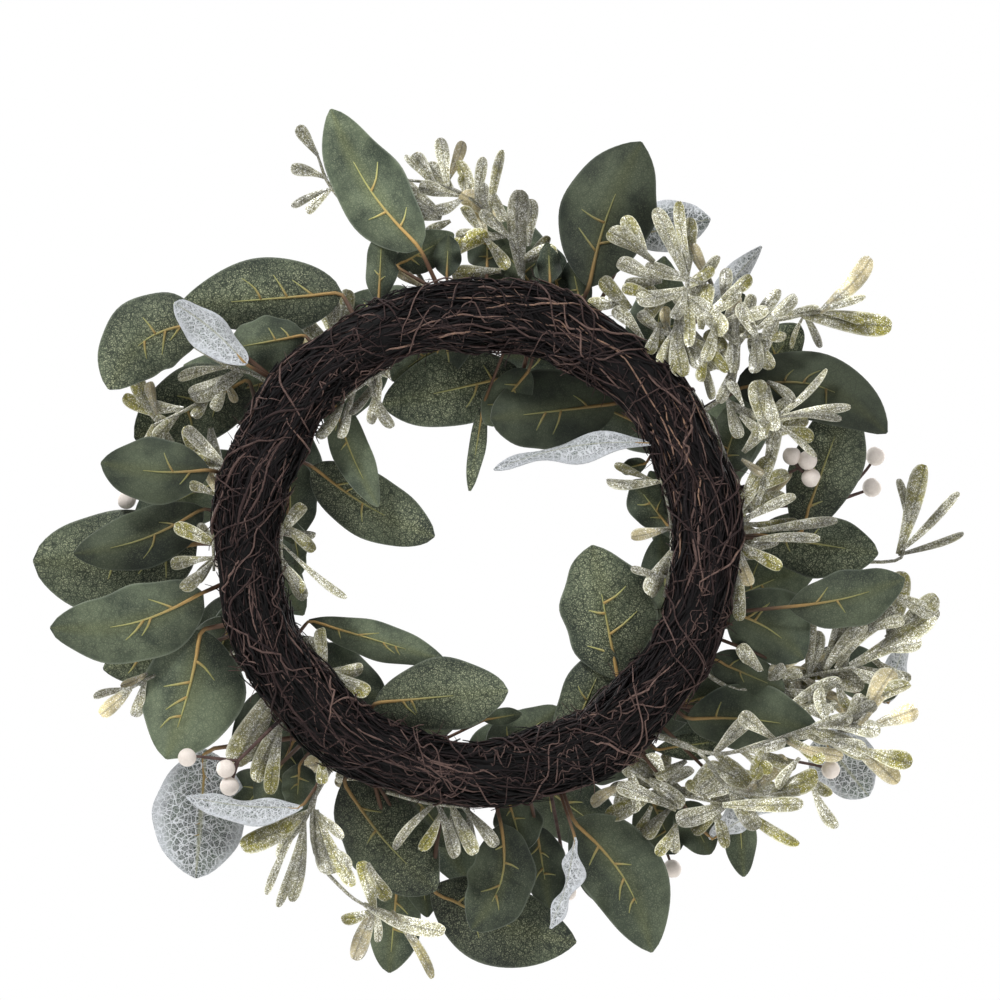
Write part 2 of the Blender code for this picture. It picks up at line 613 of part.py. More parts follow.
def front_leaves(group):
    """Leaves over the decorated side, laid like tiles and turned outwards and inwards in turn."""
    start = group * 360 / FRONT_GROUPS + FRONT_START
    leaves = []
    for i in range(FRONT_LEAVES):
        angle = start + i * FRONT_LEAF_STEP
        around = math.radians(angle)
        radial = Vector((math.cos(around), 0, math.sin(around)))
        onwards = Vector((-math.sin(around), 0, math.cos(around)))
        lean, length, width = INWARD_LEAF if i % 2 else OUTWARD_LEAF
        lean = math.radians(lean)
        root = lane_point(angle, FRONT, LANE + FRONT_LEAF_LIFT) + onwards * FRONT_LEAF_LIFT
        heading = onwards * math.cos(lean) + radial * math.sin(lean)
        tip = root + heading * length + Vector((0, FRONT_LEAF_RISE, 0))
        leaves.append((root, tip, width, 0))
    return (start, angle + FRONT_LEAF_LIFT), leaves


def front_stem(group):
    """The root angle and the two ends of a stem that stands between two leafy stems."""
    angle = group * 360 / FRONT_GROUPS + FRONT_SPRIG_ANGLE
    foot = lane_point(angle, FRONT_SPRIG_LANE)
    return angle, foot, lane_point(angle, FRONT_SPRIG_LANE, FRONT_SPRIG_REACH)


def front_sprig(name, angle, foot, top, material):
    """A sprig that stands up from the decorated side and spreads its leaves all round."""
    pieces = [tube("root", root_path(angle, FRONT_SPRIG_LANE), TWIG_RADIUS, ROOT_SIDES)]
    pieces.append(tube("stem", [foot, top], TWIG_RADIUS, 3))
    for i in range(FRONT_SPOONS):
        turn = 2 * math.pi * i / FRONT_SPOONS + 0.35
        spread, rise = FRONT_SPOON_SPREADS[i % 2]
        tip = top + Vector((math.cos(turn) * spread, rise, math.sin(turn) * spread))
        pieces.append(spoon_leaf(top.lerp(foot, 0.03 + 0.04 * i), tip, FRONT_SPOON_WIDTH))
    return fuse(name, pieces, material)


def front_berries(name, angle, foot, top, material):
    """A cluster of berries on stalks that fork from the top of one stem."""
    fork = top.lerp(foot, 0.04)
    centres = []
    for i in range(FRONT_BERRIES):
        turn = 2 * math.pi * i / FRONT_BERRIES + 0.5
        out = Vector((math.cos(turn), 0, math.sin(turn))) * FRONT_BERRY_SPREAD
        centres.append(top + out + Vector((0, 3 + i, 0)))
    stems = [[top], *([fork, centre] for centre in centres)]
    return berry_cluster(name, FRONT_SPRIG_LANE, angle, stems, centres, material)


def main():
    clear_scene()
    twig = make_material("twig_brown", (0.035, 0.02, 0.018), 0.85)
    leaf = make_material("leaf_green", (0.1, 0.14, 0.09), 0.6)
    silver = make_material("mistletoe_silver", (0.42, 0.42, 0.28), 0.45, 0.1)
    white = make_material("berry_white", (0.72, 0.67, 0.6), 0.55)
    ring = twig_ring(twig)
    roots = []
    for name, lane, root, stretch, leaves in LEAF_SPRAYS:
        leaf_spray(name, lane, root, stretch, leaves, leaf)
        roots.append((root, lane, STEM_RADIUS))
    for name, lane, root, stretch, stems, leaves in SPRIGS:
        sprig(name, lane, root, stretch, stems, leaves, silver)
        roots.append((root, lane, TWIG_RADIUS))
    for name, lane, root, stems, centres in BERRIES:
        berry_cluster(name, lane, root, stems, centres, white)
        roots.append((root, lane, BERRY_STEM_RADIUS))
    for group in range(FRONT_GROUPS):
        stretch, leaves = front_leaves(group)
        leaf_spray(f"leaf_spray_front_{group + 1}", FRONT, stretch[0], stretch, leaves, leaf)
        roots.append((stretch[0], FRONT, STEM_RADIUS))
        angle, foot, top = front_stem(group)
        if group % 2:
            front_berries(f"berries_front_{group + 1}", angle, foot, top, white)
            roots.append((angle, FRONT_SPRIG_LANE, BERRY_STEM_RADIUS))
        else:
            front_sprig(f"mistletoe_front_{group + 1}", angle, foot, top, silver)
            roots.append((angle, FRONT_SPRIG_LANE, TWIG_RADIUS))
    cut_holes(ring, roots)


main()
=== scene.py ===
import math
import random

import bmesh
import bpy
import numpy as np
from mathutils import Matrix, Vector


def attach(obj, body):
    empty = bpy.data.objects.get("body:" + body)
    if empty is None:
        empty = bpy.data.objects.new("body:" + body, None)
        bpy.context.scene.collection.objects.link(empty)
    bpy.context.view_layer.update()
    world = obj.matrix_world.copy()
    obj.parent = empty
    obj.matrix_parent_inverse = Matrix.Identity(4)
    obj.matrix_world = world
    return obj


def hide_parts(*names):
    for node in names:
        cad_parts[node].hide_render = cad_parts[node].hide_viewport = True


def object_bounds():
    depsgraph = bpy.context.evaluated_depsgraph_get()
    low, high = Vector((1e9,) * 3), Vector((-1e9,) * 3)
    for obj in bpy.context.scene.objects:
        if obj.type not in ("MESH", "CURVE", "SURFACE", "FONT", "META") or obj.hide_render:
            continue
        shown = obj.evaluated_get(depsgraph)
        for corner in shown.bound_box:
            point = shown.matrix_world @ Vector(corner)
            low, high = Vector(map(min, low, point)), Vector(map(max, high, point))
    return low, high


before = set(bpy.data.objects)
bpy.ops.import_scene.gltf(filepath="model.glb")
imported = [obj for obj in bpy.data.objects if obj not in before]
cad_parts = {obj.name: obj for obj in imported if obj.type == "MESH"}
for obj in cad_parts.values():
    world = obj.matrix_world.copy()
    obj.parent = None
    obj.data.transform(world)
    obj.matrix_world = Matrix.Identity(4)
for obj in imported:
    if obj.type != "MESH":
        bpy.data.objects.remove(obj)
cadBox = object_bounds()

# Places are in millimetres from the middle of the ring: x right and z up as seen from the door side,
# and y towards the decorated side. The frame's origin is the hook's place, at the inner top.
hangDrop = 111.0
millimetre = 0.001
dice = random.Random(24)


def tint(red, green, blue):
    # a colour as a paint program shows it, in Blender's linear light
    parts = [c / 255 for c in (red, green, blue)]
    return (*[c / 12.92 if c <= 0.04045 else ((c + 0.055) / 1.055) ** 2.4 for c in parts], 1)


def plug(tree, socket, value):
    if isinstance(value, Wire):
        tree.links.new(value.socket, socket)
    else:
        socket.default_value = value


class Wire:
    def __init__(self, tree, socket):
        self.tree, self.socket = tree, socket

    def maths(self, operation, *others, first=False):
        node = self.tree.nodes.new("ShaderNodeMath")
        node.operation = operation
        for socket, value in zip(node.inputs, (*others, self) if first else (self, *others)):
            plug(self.tree, socket, value)
        return Wire(self.tree, node.outputs[0])

    def __add__(self, other):
        return self.maths("ADD", other)

    def __sub__(self, other):
        return self.maths("SUBTRACT", other)

    def __rsub__(self, other):
        return self.maths("SUBTRACT", other, first=True)

    def __mul__(self, other):
        return self.maths("MULTIPLY", other)

    __radd__, __rmul__ = __add__, __mul__

    def size(self):
        return self.maths("ABSOLUTE")


class Finish:
    def __init__(self, name, fixed):
        self.material = bpy.data.materials.new(name)
        self.material.use_nodes = True
        self.tree = self.material.node_tree
        self.shader = self.tree.nodes["Principled BSDF"]
        for socket, value in fixed.items():
            self.shader.inputs[socket].default_value = value
        spot = self.node("TexCoord", output="Object")
        self.spot = self.node("VectorMath", {"operation": "SCALE"}, {0: spot, "Scale": 1000.0})

    def node(self, kind, settings=None, sockets=None, output=0):
        made = self.tree.nodes.new("ShaderNode" + kind)
        for key, value in (settings or {}).items():
            if key == "stops":
                ramp = made.color_ramp
                while len(ramp.elements) < len(value):
                    ramp.elements.new(0.5)
                for element, (place, colour) in zip(ramp.elements, value):
                    element.position, element.color = place, colour
            else:
                setattr(made, key, value)
        for key, value in (sockets or {}).items():
            plug(self.tree, made.inputs[key], value)
        return Wire(self.tree, made.outputs[output])

    def noise(self, scale, detail=3.0, roughness=0.55):
        sockets = {"Vector": self.spot, "Scale": scale, "Detail": detail, "Roughness": roughness}
        return self.node("TexNoise", None, sockets)

    def between(self, value, low, high, bottom=0.0, top=1.0):
        sockets = {"Value": value, "From Min": low, "From Max": high, "To Min": bottom, "To Max": top}
        return self.node("MapRange", {"interpolation_type": "SMOOTHSTEP"}, sockets)

    def blend(self, mask, under, over):
        settings = {"data_type": "RGBA", "blend_type": "MIX", "clamp_factor": True}
        return self.node("Mix", settings, {0: mask, 6: under, 7: over}, output=2)

    def shade(self, colour, amount):
        # a colour made darker or lighter by a value
        grey = self.node("CombineXYZ", None, {0: amount, 1: amount, 2: amount})
        return self.node("VectorMath", {"operation": "MULTIPLY"}, {0: colour, 1: grey})

    def marks(self):
        # what each piece carries: how pale it is, how netted or tipped, and how far along
        made = self.node("Attribute", {"attribute_name": "finish"}, output="Vector")
        return [self.node("SeparateXYZ", None, {0: made}, output=i) for i in range(3)]

    def across(self):
        # how far across a leaf, 0 at its midrib and 1 at its edge, and how far along it
        spot = self.node("UVMap", {"uv_map": "leafMap"})
        sideways = self.node("SeparateXYZ", None, {0: spot}, output=0)
        onwards = self.node("SeparateXYZ", None, {0: spot}, output=1)
        return (sideways * 2 - 1).size(), onwards

    def net(self, scale, low, high):
        # 0 on the lines of an uneven net, 1 between them
        warped = {"Vector": self.spot, "Scale": scale * 0.7, "Detail": 2.0}
        warp = self.node("TexNoise", None, warped, output="Color")
        warped = {0: warp, 1: (0.9 / scale,) * 3, 2: self.spot}
        spot = self.node("VectorMath", {"operation": "MULTIPLY_ADD"}, warped)
        sockets = {"Vector": spot, "Scale": scale, "Randomness": 1.0}
        return self.between(self.node("TexVoronoi", {"feature": "DISTANCE_TO_EDGE"}, sockets), low, high)

    def bump(self, height, strength, distance):
        sockets = {"Height": height, "Strength": strength, "Distance": distance}
        return self.node("Bump", None, sockets)

    def wear(self, socket, value):
        plug(self.tree, self.shader.inputs[socket], value)


def leafUnderside():
    cloth = Finish("leaf_underside", {"Specular IOR Level": 0.25, "Sheen Weight": 0.12})
    pale, net, _ = cloth.marks()
    sideways, onwards = cloth.across()
    # large blotches of darker and lighter green: the cloth's own mottling, and painted light and shade for the
    # curl of each leaf
    blotch = cloth.between(cloth.noise(0.028, 3.0, 0.6), 0.32, 0.66)
    colour = cloth.blend(blotch, tint(50, 59, 50), tint(98, 108, 87))
    warm = cloth.between(sideways, 0.0, 0.42, 1.0, 0.0) * 0.4
    colour = cloth.blend(warm, colour, tint(98, 103, 68))
    # pale specks between the dark lines of a net of veins
    speck = cloth.between(cloth.noise(1.25, 3.0, 0.75), 0.46, 0.58)
    patch = cloth.between(cloth.noise(0.06, 2.0), 0.3, 0.62)
    inside = cloth.between(sideways, 0.6, 1.0, 1.0, 0.3)
    coarse, fine = cloth.net(0.27, 0.0, 0.08), cloth.net(0.85, 0.03, 0.18)
    held = coarse * (fine * 0.65 + 0.35)
    colour = cloth.blend(speck * held * (patch * 0.5 + 0.5) * inside * net, colour, tint(166, 171, 138))
    colour = cloth.blend((1.0 - held) * (net * 0.6 + 0.15), colour, tint(30, 37, 31))
    # painted rim light: the edge of each leaf painted paler, as if lit from behind
    rim = cloth.between(sideways, 0.93, 1.0)
    colour = cloth.blend(rim * 0.3, colour, tint(150, 158, 142))
    weave = cloth.noise(2.4, 2.0, 0.6)
    # painted shade: each leaf painted darker towards its foot, where it lies in the shade of the ring
    root = cloth.between(onwards, 0.0, 0.5, 0.62, 1.06)
    colour = cloth.shade(colour, (pale + 0.1) * (weave * 0.5 + 0.75) * root)
    cloth.wear("Base Color", colour)
    cloth.wear("Roughness", 0.86 - speck * net * 0.25)
    cloth.wear("Normal", cloth.bump(weave + speck * net * 0.6, 0.35, 0.0004))
    return cloth.material


def leafFrosted():
    # white lace over a darker green, thick on the skeleton leaves and thin on the others
    frost = Finish("leaf_frosted", {"Specular IOR Level": 0.4, "Sheen Weight": 0.1})
    pale, net, thick = frost.marks()
    sideways, onwards = frost.across()
    ribs = ((onwards - sideways * 0.22) * 28.0).maths("SINE").size()
    ribs = frost.between(ribs, 0.05, 0.22, 1.0, 0.0) * 0.75
    coarse, fine = frost.net(0.3, 0.01, 0.1), frost.net(0.7, 0.02, 0.2)
    cells = coarse * (fine * (0.35 + net * 0.2) + 0.65 - net * 0.2)
    lace = (1.0 - cells).maths("MAXIMUM", ribs)
    blotch = frost.between(frost.noise(0.06, 3.0), 0.35, 0.65)
    cover = frost.between(frost.noise(0.9, 3.0, 0.7), 0.36, 0.56)
    ground = frost.blend(blotch, tint(24, 37, 28), tint(62, 80, 60))
    rim = frost.between(sideways, 0.55, 1.0) * thick
    colour = frost.blend(cover * (thick * (net * 0.6 + 0.1) + 0.05), ground, tint(168, 172, 176))
    colour = frost.blend(lace * (thick * 0.98 - 0.1), colour, tint(218, 221, 226))
    colour = frost.blend(rim * 0.7, colour, tint(198, 202, 208))
    midrib = frost.between(sideways, 0.02, 0.08, 0.6, 0.0)
    colour = frost.blend(midrib, colour, tint(150, 152, 124))
    # painted glints: small spots painted near white
    sparkle = frost.between(frost.noise(2.2, 1.0, 0.5), 0.62, 0.7)
    colour = frost.blend(sparkle * 0.4, colour, tint(232, 236, 240))
    colour = frost.shade(colour, pale * 0.5 + thick * 0.15 + 0.42)
    frost.wear("Base Color", colour)
    frost.wear("Roughness", 0.7 - cover * 0.25)
    frost.wear("Normal", frost.bump(cover + lace, 0.5, 0.0005))
    return frost.material


def leafVein():
    vein = Finish("leaf_vein", {"Specular IOR Level": 0.35})
    pale, _, onwards = vein.marks()
    grain = vein.noise(0.9, 3.0)
    colour = vein.blend(grain, tint(140, 108, 64), tint(172, 144, 88))
    colour = vein.blend(vein.between(onwards, 0.4, 0.9), colour, tint(150, 150, 96))
    stalk = vein.between(onwards, 0.18, 0.42, 0.95, 0.0)
    colour = vein.blend(stalk, colour, tint(72, 50, 40))
    vein.wear("Base Color", vein.shade(colour, pale * 0.95 + 0.15))
    vein.wear("Roughness", 0.75 - grain * 0.2)
    vein.wear("Normal", vein.bump(grain, 0.3, 0.0004))
    return vein.material


def mistletoeGlitter():
    glitter = Finish("mistletoe_glitter", {"Specular IOR Level": 0.6})
    pale, tip, onwards = glitter.marks()
    sideways, _ = glitter.across()
    sockets = {"Vector": glitter.spot, "Scale": 2.1, "Randomness": 1.0}
    grain = glitter.node("TexVoronoi", {"feature": "F1"}, sockets, output="Color")
    flake = glitter.node("SeparateXYZ", None, {0: grain}, output=0)
    second = glitter.node("SeparateXYZ", None, {0: grain}, output=1)
    silver = glitter.node("ValToRGB", {"stops": [
        (0.0, tint(86, 83, 62)), (0.3, tint(134, 131, 108)), (0.65, tint(176, 175, 158)),
        (0.85, tint(216, 216, 208)), (1.0, tint(255, 255, 252)),
    ]}, {0: flake})
    # silver frosting in patches over an olive leaf
    patch = glitter.between(glitter.noise(0.13, 4.0, 0.65), 0.38, 0.6)
    # painted light and shade in broad blotches, darker and lighter than the leaf's own colour
    paintedShadeAndLight = glitter.between(glitter.noise(0.05, 3.0, 0.6), 0.36, 0.62, 0.55, 1.22)
    bare = glitter.between(onwards, 0.3, 0.85) * tip * 0.9 + patch * (tip * 0.7 + 0.3)
    olive = glitter.blend(second, tint(88, 86, 30), tint(150, 144, 66))
    cream = glitter.blend(second, tint(168, 156, 114), tint(206, 194, 158))
    olive = glitter.blend(glitter.between(tip, 0.75, 0.85), olive, cream)
    colour = glitter.blend(bare, silver, olive)
    # painted glints: the brightest glitter flakes painted white
    spark = glitter.between(flake, 0.86, 0.92)
    colour = glitter.blend(spark * 0.6, colour, tint(255, 255, 252))
    # paler edges: white frost on the edges, and a painted rim highlight
    rim = glitter.between(sideways, 0.8, 0.98)
    colour = glitter.blend(rim * 0.55, colour, tint(222, 221, 200))
    # painted shade: darker along the midrib crease and towards the leaf's foot by the stem
    paintedCreaseShade = glitter.between(sideways, 0.0, 0.22, 0.55, 1.0)
    root = glitter.between(onwards, 0.0, 0.4, 0.62, 1.0)
    colour = glitter.shade(colour, (pale * 0.72 + 0.44) * paintedCreaseShade * paintedShadeAndLight * root)
    glitter.wear("Base Color", colour)
    glitter.wear("Roughness", 0.62 - flake * 0.3)
    glitter.wear("Metallic", glitter.between(flake, 0.7, 1.0) * 0.3)
    glitter.wear("Normal", glitter.bump(flake + second * 0.5, 0.45, 0.0005))
    return glitter.material


def twigBark():
    bark = Finish("twig_bark", {"Specular IOR Level": 0.18})
    pale, _, _ = bark.marks()
    grain = bark.noise(0.35, 4.0, 0.6)
    colour = bark.node("ValToRGB", {"stops": [
        (0.0, tint(8, 7, 8)), (0.35, tint(25, 19, 21)), (0.65, tint(55, 42, 41)),
        (0.88, tint(106, 86, 80)), (1.0, tint(158, 126, 102)),
    ]}, {0: pale * 0.9 + grain * 0.3 - 0.17})
    bark.wear("Base Color", colour)
    bark.wear("Roughness", 0.85 - grain * 0.3)
    bark.wear("Normal", bark.bump(grain, 0.4, 0.0004))
    return bark.material


def berrySkin():
    skin = Finish("berry_skin", {"Specular IOR Level": 0.35, "Sheen Weight": 0.15})
    pale, _, _ = skin.marks()
    grain = skin.noise(0.5, 4.0, 0.6)
    speck = skin.between(skin.noise(1.8, 2.0), 0.6, 0.72)
    colour = skin.blend(grain, tint(206, 194, 186), tint(232, 224, 216))
    colour = skin.blend(speck * 0.5, colour, tint(244, 242, 240))
    skin.wear("Base Color", skin.shade(colour, pale * 0.3 + 0.75))
    skin.wear("Roughness", 0.62 - speck * 0.2)
    skin.wear("Normal", skin.bump(grain + speck * 0.4, 0.25, 0.0003))
    return skin.material


underside, frosted, vein = leafUnderside(), leafFrosted(), leafVein()
glitter, bark, skin = mistletoeGlitter(), twigBark(), berrySkin()
print("finishes made")

templates, grids = {}, {}   # the pieces that the others are copied from, and their points


def keepTemplate(piece):
    templates[piece.name] = piece
    grids[piece.name] = gridOf(piece)


def clearSelection():
    bpy.ops.object.select_all(action="DESELECT")


def startPiece(name, *materials):
    piece = bpy.context.object
    piece.name = piece.data.name = name
    piece.data.uv_layers[0].name = "leafMap"
    for material in materials:
        piece.data.materials.append(material)
    return piece


def gridOf(piece):
    spots = np.empty(len(piece.data.vertices) * 3, np.float32)
    piece.data.vertices.foreach_get("co", spots)
    return spots.reshape(-1, 3).astype(float)


def makeRod(name, sides, steps, material):
    clearSelection()
    bpy.ops.mesh.primitive_cylinder_add(vertices=sides, radius=1, depth=1, location=(0, 0, 0.5))
    rod = startPiece(name, material)
    bpy.ops.object.transform_apply(location=True)
    bpy.ops.object.mode_set(mode="EDIT")
    bpy.ops.mesh.select_mode(type="EDGE")
    bpy.ops.mesh.select_all(action="DESELECT")
    shell = bmesh.from_edit_mesh(rod.data)
    for edge in shell.edges:
        edge.select = abs(edge.verts[0].co.z - edge.verts[1].co.z) > 0.5
    bmesh.update_edit_mesh(rod.data)
    bpy.ops.mesh.subdivide(number_cuts=steps - 1)
    bpy.ops.object.mode_set(mode="OBJECT")
    bpy.ops.object.shade_smooth()
    keepTemplate(rod)


def makeSheet(name, across, along, *materials):
    # a flat sheet with u from -1 to 1, t from 0 to 1, and a wall from -1 to 1
    clearSelection()
    bpy.ops.mesh.primitive_grid_add(x_subdivisions=across, y_subdivisions=along, size=2)
    sheet = startPiece(name, *materials)
    bpy.ops.object.mode_set(mode="EDIT")
    bpy.ops.mesh.select_all(action="SELECT")
    bpy.ops.transform.translate(value=(0, 1, 0))
    bpy.ops.transform.resize(value=(1, 0.5, 1), center_override=(0, 0, 0))
    bpy.ops.object.mode_set(mode="OBJECT")
    wall = sheet.modifiers.new("wall", "SOLIDIFY")
    wall.thickness, wall.offset = 2, 0
    bpy.ops.object.modifier_apply(modifier=wall.name)
    bpy.ops.object.shade_smooth_by_angle(angle=math.radians(60))
    if len(materials) > 1:
        for face in sheet.data.polygons:
            face.material_index = int(face.normal.z > 0.5)
    keepTemplate(sheet)


def makeBall(name, segments, rings, material):
    # a ball of radius 1 with a small dent at its top
    clearSelection()
    bpy.ops.mesh.primitive_uv_sphere_add(segments=segments, ring_count=rings, radius=1)
    ball = startPiece(name, material)
    bpy.ops.object.mode_set(mode="EDIT")
    bpy.ops.mesh.select_mode(type="VERT")
    bpy.ops.mesh.select_all(action="DESELECT")
    shell = bmesh.from_edit_mesh(ball.data)
    for vert in shell.verts:
        vert.select = vert.co.z > 0.94
    shell.select_flush_mode()
    bmesh.update_edit_mesh(ball.data)
    bpy.ops.transform.translate(value=(0, 0, -0.1))
    bpy.ops.transform.resize(value=(0.7, 0.7, 1), center_override=(0, 0, 0.9))
    bpy.ops.object.mode_set(mode="OBJECT")
    bpy.ops.object.shade_smooth()
    keepTemplate(ball)


def addMarks(piece, pale, net, onwards):
    # what the finishes read at each point
    count = len(piece.data.vertices)
    marks = np.column_stack([np.broadcast_to(value, count) for value in (pale, net, onwards)])
    layer = piece.data.attributes.new("finish", "FLOAT_VECTOR", "POINT")
    layer.data.foreach_set("vector", np.ascontiguousarray(marks, np.float32).ravel())


def bentCopy(kind, places, marks):
    # a copy of a template with its points moved, and its marks for the finishes
    copy = templates[kind].copy()
    copy.data = templates[kind].data.copy()
    bpy.context.scene.collection.objects.link(copy)
    spots = np.clip((places - (0, 0, hangDrop)) * millimetre, *cadBox)
    copy.data.vertices.foreach_set("co", spots.astype(np.float32).ravel())
    addMarks(copy, *marks)
    return copy


def joinPieces(name, parts, nodes=()):
    clearSelection()
    for part in parts:
        part.select_set(True)
    bpy.context.view_layer.objects.active = parts[0]
    if len(parts) > 1:
        bpy.ops.object.join()
    piece = bpy.context.object
    piece.name = piece.data.name = name
    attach(piece, "root")
    if nodes:
        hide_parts(*nodes)
    return piece


def unit(vectors):
    return vectors / np.maximum(np.linalg.norm(vectors, axis=-1, keepdims=True), 1e-9)


def smoothPath(points, count):
    points = np.array(points, float)
    ends = np.vstack([2 * points[0] - points[1], points, 2 * points[-1] - points[-2]])
    steps = np.linspace(0, len(points) - 1, count)
    place = np.minimum(steps.astype(int), len(points) - 2)
    f = (steps - place)[:, None]
    a, b, c, d = (ends[place + i] for i in range(4))
    return (2 * b + (c - a) * f + (2 * a - 5 * b + 4 * c - d) * f**2 + (3 * b - a - 3 * c + d) * f**3) / 2


def bendRod(kind, points, radii, pale, reach=(0.0, 1.0), smooth=True):
    # a rod along a path, with its radius from one end to the other
    grid = grids[kind]
    steps = len(np.unique(np.round(grid[:, 2], 4)))
    path = smoothPath(points, steps) if smooth else np.array(points, float)
    tangents = unit(np.gradient(path, axis=0))
    side = np.cross(tangents[0], (0, 0, 1) if abs(tangents[0][2]) < 0.9 else (1, 0, 0))
    sides = []
    for tangent in tangents:
        side = side - tangent * side.dot(tangent)
        side = side / np.linalg.norm(side)
        sides.append(side)
    sides = np.array(sides)
    others = np.cross(tangents, sides)
    station = np.rint(grid[:, 2] * (steps - 1)).astype(int)
    radii = np.interp(np.linspace(0, 1, steps), np.linspace(0, 1, len(radii)), radii)
    size = radii[station][:, None]
    places = path[station] + (sides[station] * grid[:, :1] + others[station] * grid[:, 1:2]) * size
    onwards = reach[0] + (reach[1] - reach[0]) * grid[:, 2]
    return bentCopy(kind, places, (pale, 0.0, onwards))


ring = {
    "radius": 131.0,
    "tube": 20.0,
    "coreTube": 16.5,
    "coreSegments": (180, 40),
    "backFlat": (17.2, 5.0),   # strands lie no further back than this, and ease into it over so much
    "strands": 1900,
    "strandPieces": 4,
    "strandSides": 4,
    "strandSteps": 16,
    "strandThickness": (0.3, 0.76),
    "strandTaper": (0.45, 0.9, 1, 1, 0.95, 0.8, 0.35),
    "strandArc": (20, 52),   # degrees round the ring
    "strandDrift": (20, 62),   # degrees round the bundle, the middle and the spread
    "strandDepth": (0.6, 1.9),   # below the tube, the least and the spread
    "stouter": (7, 1.45),   # every seventh strand is so much thicker
    "kinks": (0.2, 1.5),   # degrees round the bundle
    "paintedLitSide": (20, 0.14),   # painted light: degrees round the ring of the side whose strands are painted paler as if lit more, and how much paler
    "binders": 110,
    "binderArc": (8, 26),
    "binderDrift": (80, 190),
    "binderThickness": (0.45, 0.7),
    "strays": 260,
    "strayArc": (4, 14),
    "strayDrift": (-60, 60),
    "strayLane": (150, 390),
    "strayThickness": (0.3, 0.5),
    "strayLift": (3, 10),
    "tanThickness": 0.7,
    "tanTwigs": (   # start, arc, lane, drift
        (222, 9, 210, 60), (228, 10, 250, -90), (184, 7, 290, 30),
        (20, 12, 250, 60), (300, 8, 260, 80), (60, 10, 250, 50),
    ),
}
makeRod("strand", ring["strandSides"], ring["strandSteps"], bark)

sprayStem = {
    "lane": 26.5,   # from the middle of the bundle to a lane outside it
    "buried": 16.5,   # to the lane of a leaf spray's stem
    "shallow": 19.5,   # to the lane of a mistletoe sprig's stem
    "sink": 12.0,   # to the end of a root
    "step": 10.0,   # degrees from point to point of a lane
    "leafRadius": 1.8,
    "twigRadius": 1.4,
    "berryRadius": 1.1,
}


def lanePoint(angle, lane, reach=sprayStem["lane"]):
    around, tilt = np.radians(angle), np.radians(lane)
    radius = ring["radius"] + reach * np.cos(tilt)
    return np.stack([radius * np.cos(around), reach * np.sin(tilt), radius * np.sin(around)], axis=-1)


def lanePath(stretch, lane, reach):
    count = max(1, round(abs(stretch[1] - stretch[0]) / sprayStem["step"])) + 1
    return lanePoint(np.linspace(*stretch, count), np.full(count, float(lane)), reach)


def rootPath(angle, lane):
    return [lanePoint(angle, lane, sprayStem["sink"]), lanePoint(angle, lane)]


def leafFrame(foot, tip, roll):
    along = unit(tip - foot)
    across = unit(np.cross(along, (0, 1, 0)))
    turn = math.radians(roll)
    across = across * math.cos(turn) + np.cross(along, across) * math.sin(turn)
    face = np.cross(across, along)
    return along, face if face[1] >= 0 else -face


def flattened(places):
    # the door side of the bundle is pressed flat
    flat, soft = ring["backFlat"]
    low = -places[:, 1] - (flat - soft)
    places[:, 1] = np.where(low > 0, -(flat - soft) - soft * np.tanh(low / soft), places[:, 1])
    return places


def ringCore():
    clearSelection()
    around, about = ring["coreSegments"]
    bpy.ops.mesh.primitive_torus_add(
        major_radius=ring["radius"], minor_radius=ring["coreTube"], major_segments=around,
        minor_segments=about, rotation=(math.pi / 2, 0, 0),
    )
    core = startPiece("twig_core", bark)
    bpy.ops.object.transform_apply(rotation=True)
    places = gridOf(core)
    around = np.arctan2(places[:, 2], places[:, 0])
    outwards = np.stack([np.cos(around), np.zeros(len(around)), np.sin(around)], axis=-1)
    middle = outwards * ring["radius"]
    arm = unit(places - middle)
    tilt = np.arctan2(arm[:, 1], (arm * outwards).sum(axis=1))
    ridge = 0.7 * np.sin(9 * tilt + 5 * around) + 0.5 * np.sin(17 * tilt - 8 * around)
    places = flattened(places + arm * ridge[:, None])
    spots = (places - (0, 0, hangDrop)) * millimetre
    core.data.vertices.foreach_set("co", spots.astype(np.float32).ravel())
    # the core takes the darkest bark tone: dark inner twigs, and painted shade in the gaps between the strands
    addMarks(core, 0.0, 0.0, 0.0)
    bpy.ops.object.shade_smooth()
    joinPieces("twig_core", [core], ["twig_ring"])


def ringStrand(start, arc, lane, drift, reach, thickness, pale, lift=(0.0, 0.0), wander=1.0):
    # one twig that lies along the bundle, its ends lifted clear by so much
    steps = ring["strandSteps"] + 1
    share = np.linspace(0, 1, steps)
    waves = sum(
        dice.uniform(3, 11) / k * np.sin(share * math.tau * k * dice.uniform(0.6, 1.3) + dice.uniform(0, 6.28))
        for k in (1, 2, 3)
    ) + dice.uniform(*ring["kinks"]) * np.sin(share * math.tau * dice.uniform(4, 6) + dice.uniform(0, 6.28))
    angles = start + arc * share
    lanes = lane + drift * share + waves * wander
    lumps = 1.3 * np.sin(np.radians(5 * angles + 40)) + 1.2 * np.sin(np.radians(11 * angles - lanes)) - 0.4
    height, turns, phase = dice.uniform(0.4, 1.5), dice.uniform(1, 2.4), dice.uniform(0, 6.28)
    bob = lumps + height * np.sin(share * math.tau * turns + phase)
    ends = lift[0] * np.clip(1 - share * 5, 0, 1) ** 1.5 + lift[1] * np.clip(share * 5 - 4, 0, 1) ** 1.5
    path = flattened(lanePoint(angles, lanes, reach + bob + ends))
    return bendRod("strand", path, thickness * np.array(ring["strandTaper"]), pale, smooth=False)


